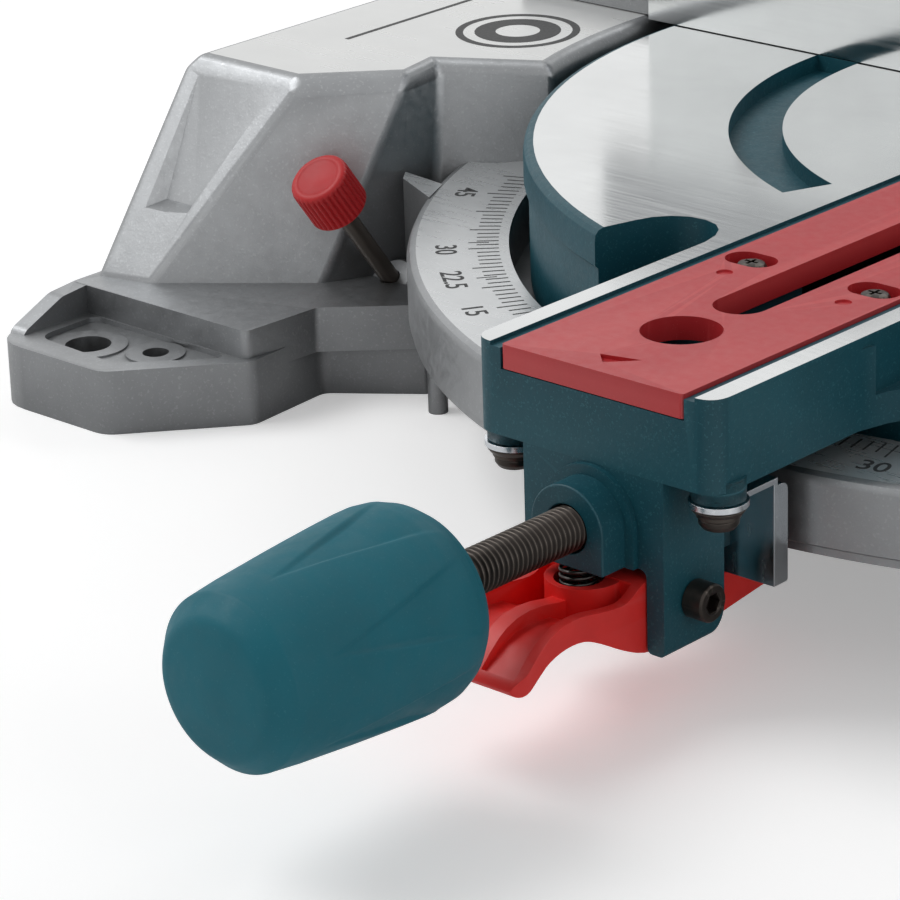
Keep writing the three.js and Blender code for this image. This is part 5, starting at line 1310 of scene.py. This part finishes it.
def rear():
    front, back = 246.4, 280.4
    disc = cylinder("y", 42, front, front + 16, 0, TABLE_TOP, 128)
    column = prism("y", [(-34, 90), (34, 90), (44, 228), (-44, 228)], front, back)
    hollow = prism("y", [(-26, 112), (26, 112), (36, 218), (-36, 218)], front + 10, back + 1)
    body = cut(join(disc, column), hollow)
    housing = box(-50, 50, 240, 300, 226, 274)
    rounded_solid(housing, 3, 4, 40)
    collar = cylinder("y", 24, front, back, 0, TABLE_TOP, 96)
    body = join(body, housing, collar)
    tools = [cylinder("y", 8.3, front - 1, back + 1, 0, TABLE_TOP, 48),
             cylinder("x", 4.3, 30, 51, SLIDE_LOCK_Y, RAIL_Z, 32)]
    tools += [cylinder("y", 14.4, 239, 301, x, RAIL_Z, 96) for x in (-RAIL_X, RAIL_X)]
    body = cut(body, *tools)
    finish(body, "bevel_arm_cast", "bevel", cast, "bevel_arm", 1.2, 3, 34)
    start, end = span("rail_left", 1)
    for side, x in (("left", -RAIL_X), ("right", RAIL_X)):
        tube = turned("y", [(10.5, start), (13.4, start), (14, start + 0.8), (14, end - 0.8), (13.4, end),
                            (10.5, end)], x, RAIL_Z, 128)
        finish(tube, "rail_tube_" + side, "slide", steel, "rail_" + side, None)
        soften(tube, 0.1, 1)
    slide_lock = (SLIDE_LOCK_Y, RAIL_Z)
    grip = turned("x", [(0, 55), (13, 55), (15, 57), (15, 68), (13.6, 69.6), (11, 70), (0, 70)],
                  *slide_lock, 96)
    grip = cut(grip, *[cylinder("x", 2.6, 54, 72, *polar(16.3, 36 * k, *slide_lock), 24)
                       for k in range(10)])
    grip = join(grip, cylinder("x", 4, span("slide_knob", 0)[0], 56, *slide_lock, 48))
    finish(grip, "slide_knob_black", "slide_knob", black, "slide_knob", 0.5, 2, 34)
    start, end = span("fence_clamp_knob", 1)
    grip = turned("y", [(0, start), (8, start), (11, start + 2), (11, end - 1.5), (9.6, end), (0, end)],
                  *CLAMP, 96)
    flutes = [cylinder("y", 2.2, start - 1, end + 1, *polar(12.2, 45 * k, *CLAMP), 24) for k in range(8)]
    grip = cut(grip, cylinder("y", 3.3, start - 1, end - 1.7, *CLAMP, 32), *flutes)
    finish(grip, "fence_knob_black", "fence_knob", black, "fence_clamp_knob", 0.4, 2, 34,
           planes=False)


blade()
guards()
dust_spout()
motor()
head_casting()
handle()
rear()


# Small turned pieces and the rest of what stands behind the table
ARBOR_BODY = frame["nodes"]["arbor_bolt"]["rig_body"]


def small_pieces():
    bolt_x, bolt_y = FENCE_BOLT
    for side, x in (("left", -bolt_x), ("right", bolt_x)):
        head = turned("z", [(0, 98.6), (5, 98.6), (5, 104.0), (4.4, 104.6), (0, 104.6)], x, bolt_y, 64)
        head = cut(head, cylinder("z", 2.9, 101.4, 105.6, x, bolt_y, 6))
        head = join(head, cylinder("z", 3, 85, 99, x, bolt_y, 48))
        finish(head, "fence_cap_screw_" + side, "base", black_oxide, "fence_bolt_" + side, 0.2, 2)
    outer, inner = span("arbor_bolt", 0)
    flange = turned("x", [(0, inner), (12, inner), (12, inner - 1.4), (10.4, inner - 2),
                          (10.4, outer + 0.6), (9.8, outer), (0, outer)], *BLADE, 96)
    flange = cut(flange, cylinder("x", 3.5, outer - 1, outer + 3, *BLADE, 6))
    finish(flange, "arbor_screw", ARBOR_BODY, black_oxide, "arbor_bolt", 0.2, 2)
    low, high = span("outer_flange", 0)
    disc = turned("x", [(0, high), (20, high), (20, low + 1.6), (18.4, low), (0, low)], *BLADE, 96)
    disc = cut(disc, cylinder("x", 8.3, -20, 0, *BLADE, 48))
    finish(disc, "outer_flange_steel", ARBOR_BODY, steel, "outer_flange", 0.2, 2)


def coil_spring():
    """The lever's spring, one wound wire."""
    wire, radius, low, high, turns, steps, sides = 0.55, 4.6, 31.45, 40.15, 5, 24, 8
    points = []
    count = turns * steps
    for k in range(count + 1):
        angle = 2 * math.pi * k / steps
        z = low + (high - low) * k / count
        for i in range(sides):
            a = 2 * math.pi * i / sides
            r = radius + wire * math.cos(a)
            points.append((r * math.cos(angle), SPRING_Y + r * math.sin(angle), z + wire * math.sin(a)))
    faces = strip_faces(count + 1, sides)
    faces.append(tuple(range(sides)))
    faces.append(tuple(range(count * sides, (count + 1) * sides)))
    obj = mesh_of(points, faces)
    smooth(obj)
    finish(obj, "wound_spring", "table", spring_steel, "lever_spring", None)
    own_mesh(obj)


small_pieces()
coil_spring()


# The rest of the frame's nodes keep their shapes, with rounded edges and finished materials.
DRESSED = {
    cast: "base_casting fence slide_fence bevel_arm carrier",
    powder: "turntable head_casting upper_guard",
    red_plate: "kerf_plate",
    rubber: "lock_handle",
    red_plastic_painted_light: "detent_lever",
    red: "thumb_knob_left thumb_knob_right mitre_pointer trigger lock_off_button",
    zinc: "spring_plate lever_spring lower_guard",
    blade_steel: "blade",
    copper: "stator",
    black_grip: "handle",
    steel: "armature spindle lock_pad bevel_stud rail_left rail_right chop_pin inner_flange outer_flange",
}
OXIDE = ("table_pivot_bolt", "kerf_screw", "lock_rod", "lever_screw", "plate_screw", "thumb_stem",
         "fence_bolt", "fence_clamp_screw", "head_lock_pin", "arbor_bolt")
# In metres: nodes shorter than this get finer edges.
SMALL = 0.03
looks = {name: material for material, names in DRESSED.items() for name in names.split()}
for name, obj in frame["nodes"].items():
    wear(obj, looks.get(name, black_oxide if name.startswith(OXIDE) else black))
    soften(obj, 0.3 if max(obj.dimensions) < SMALL else 0.8)
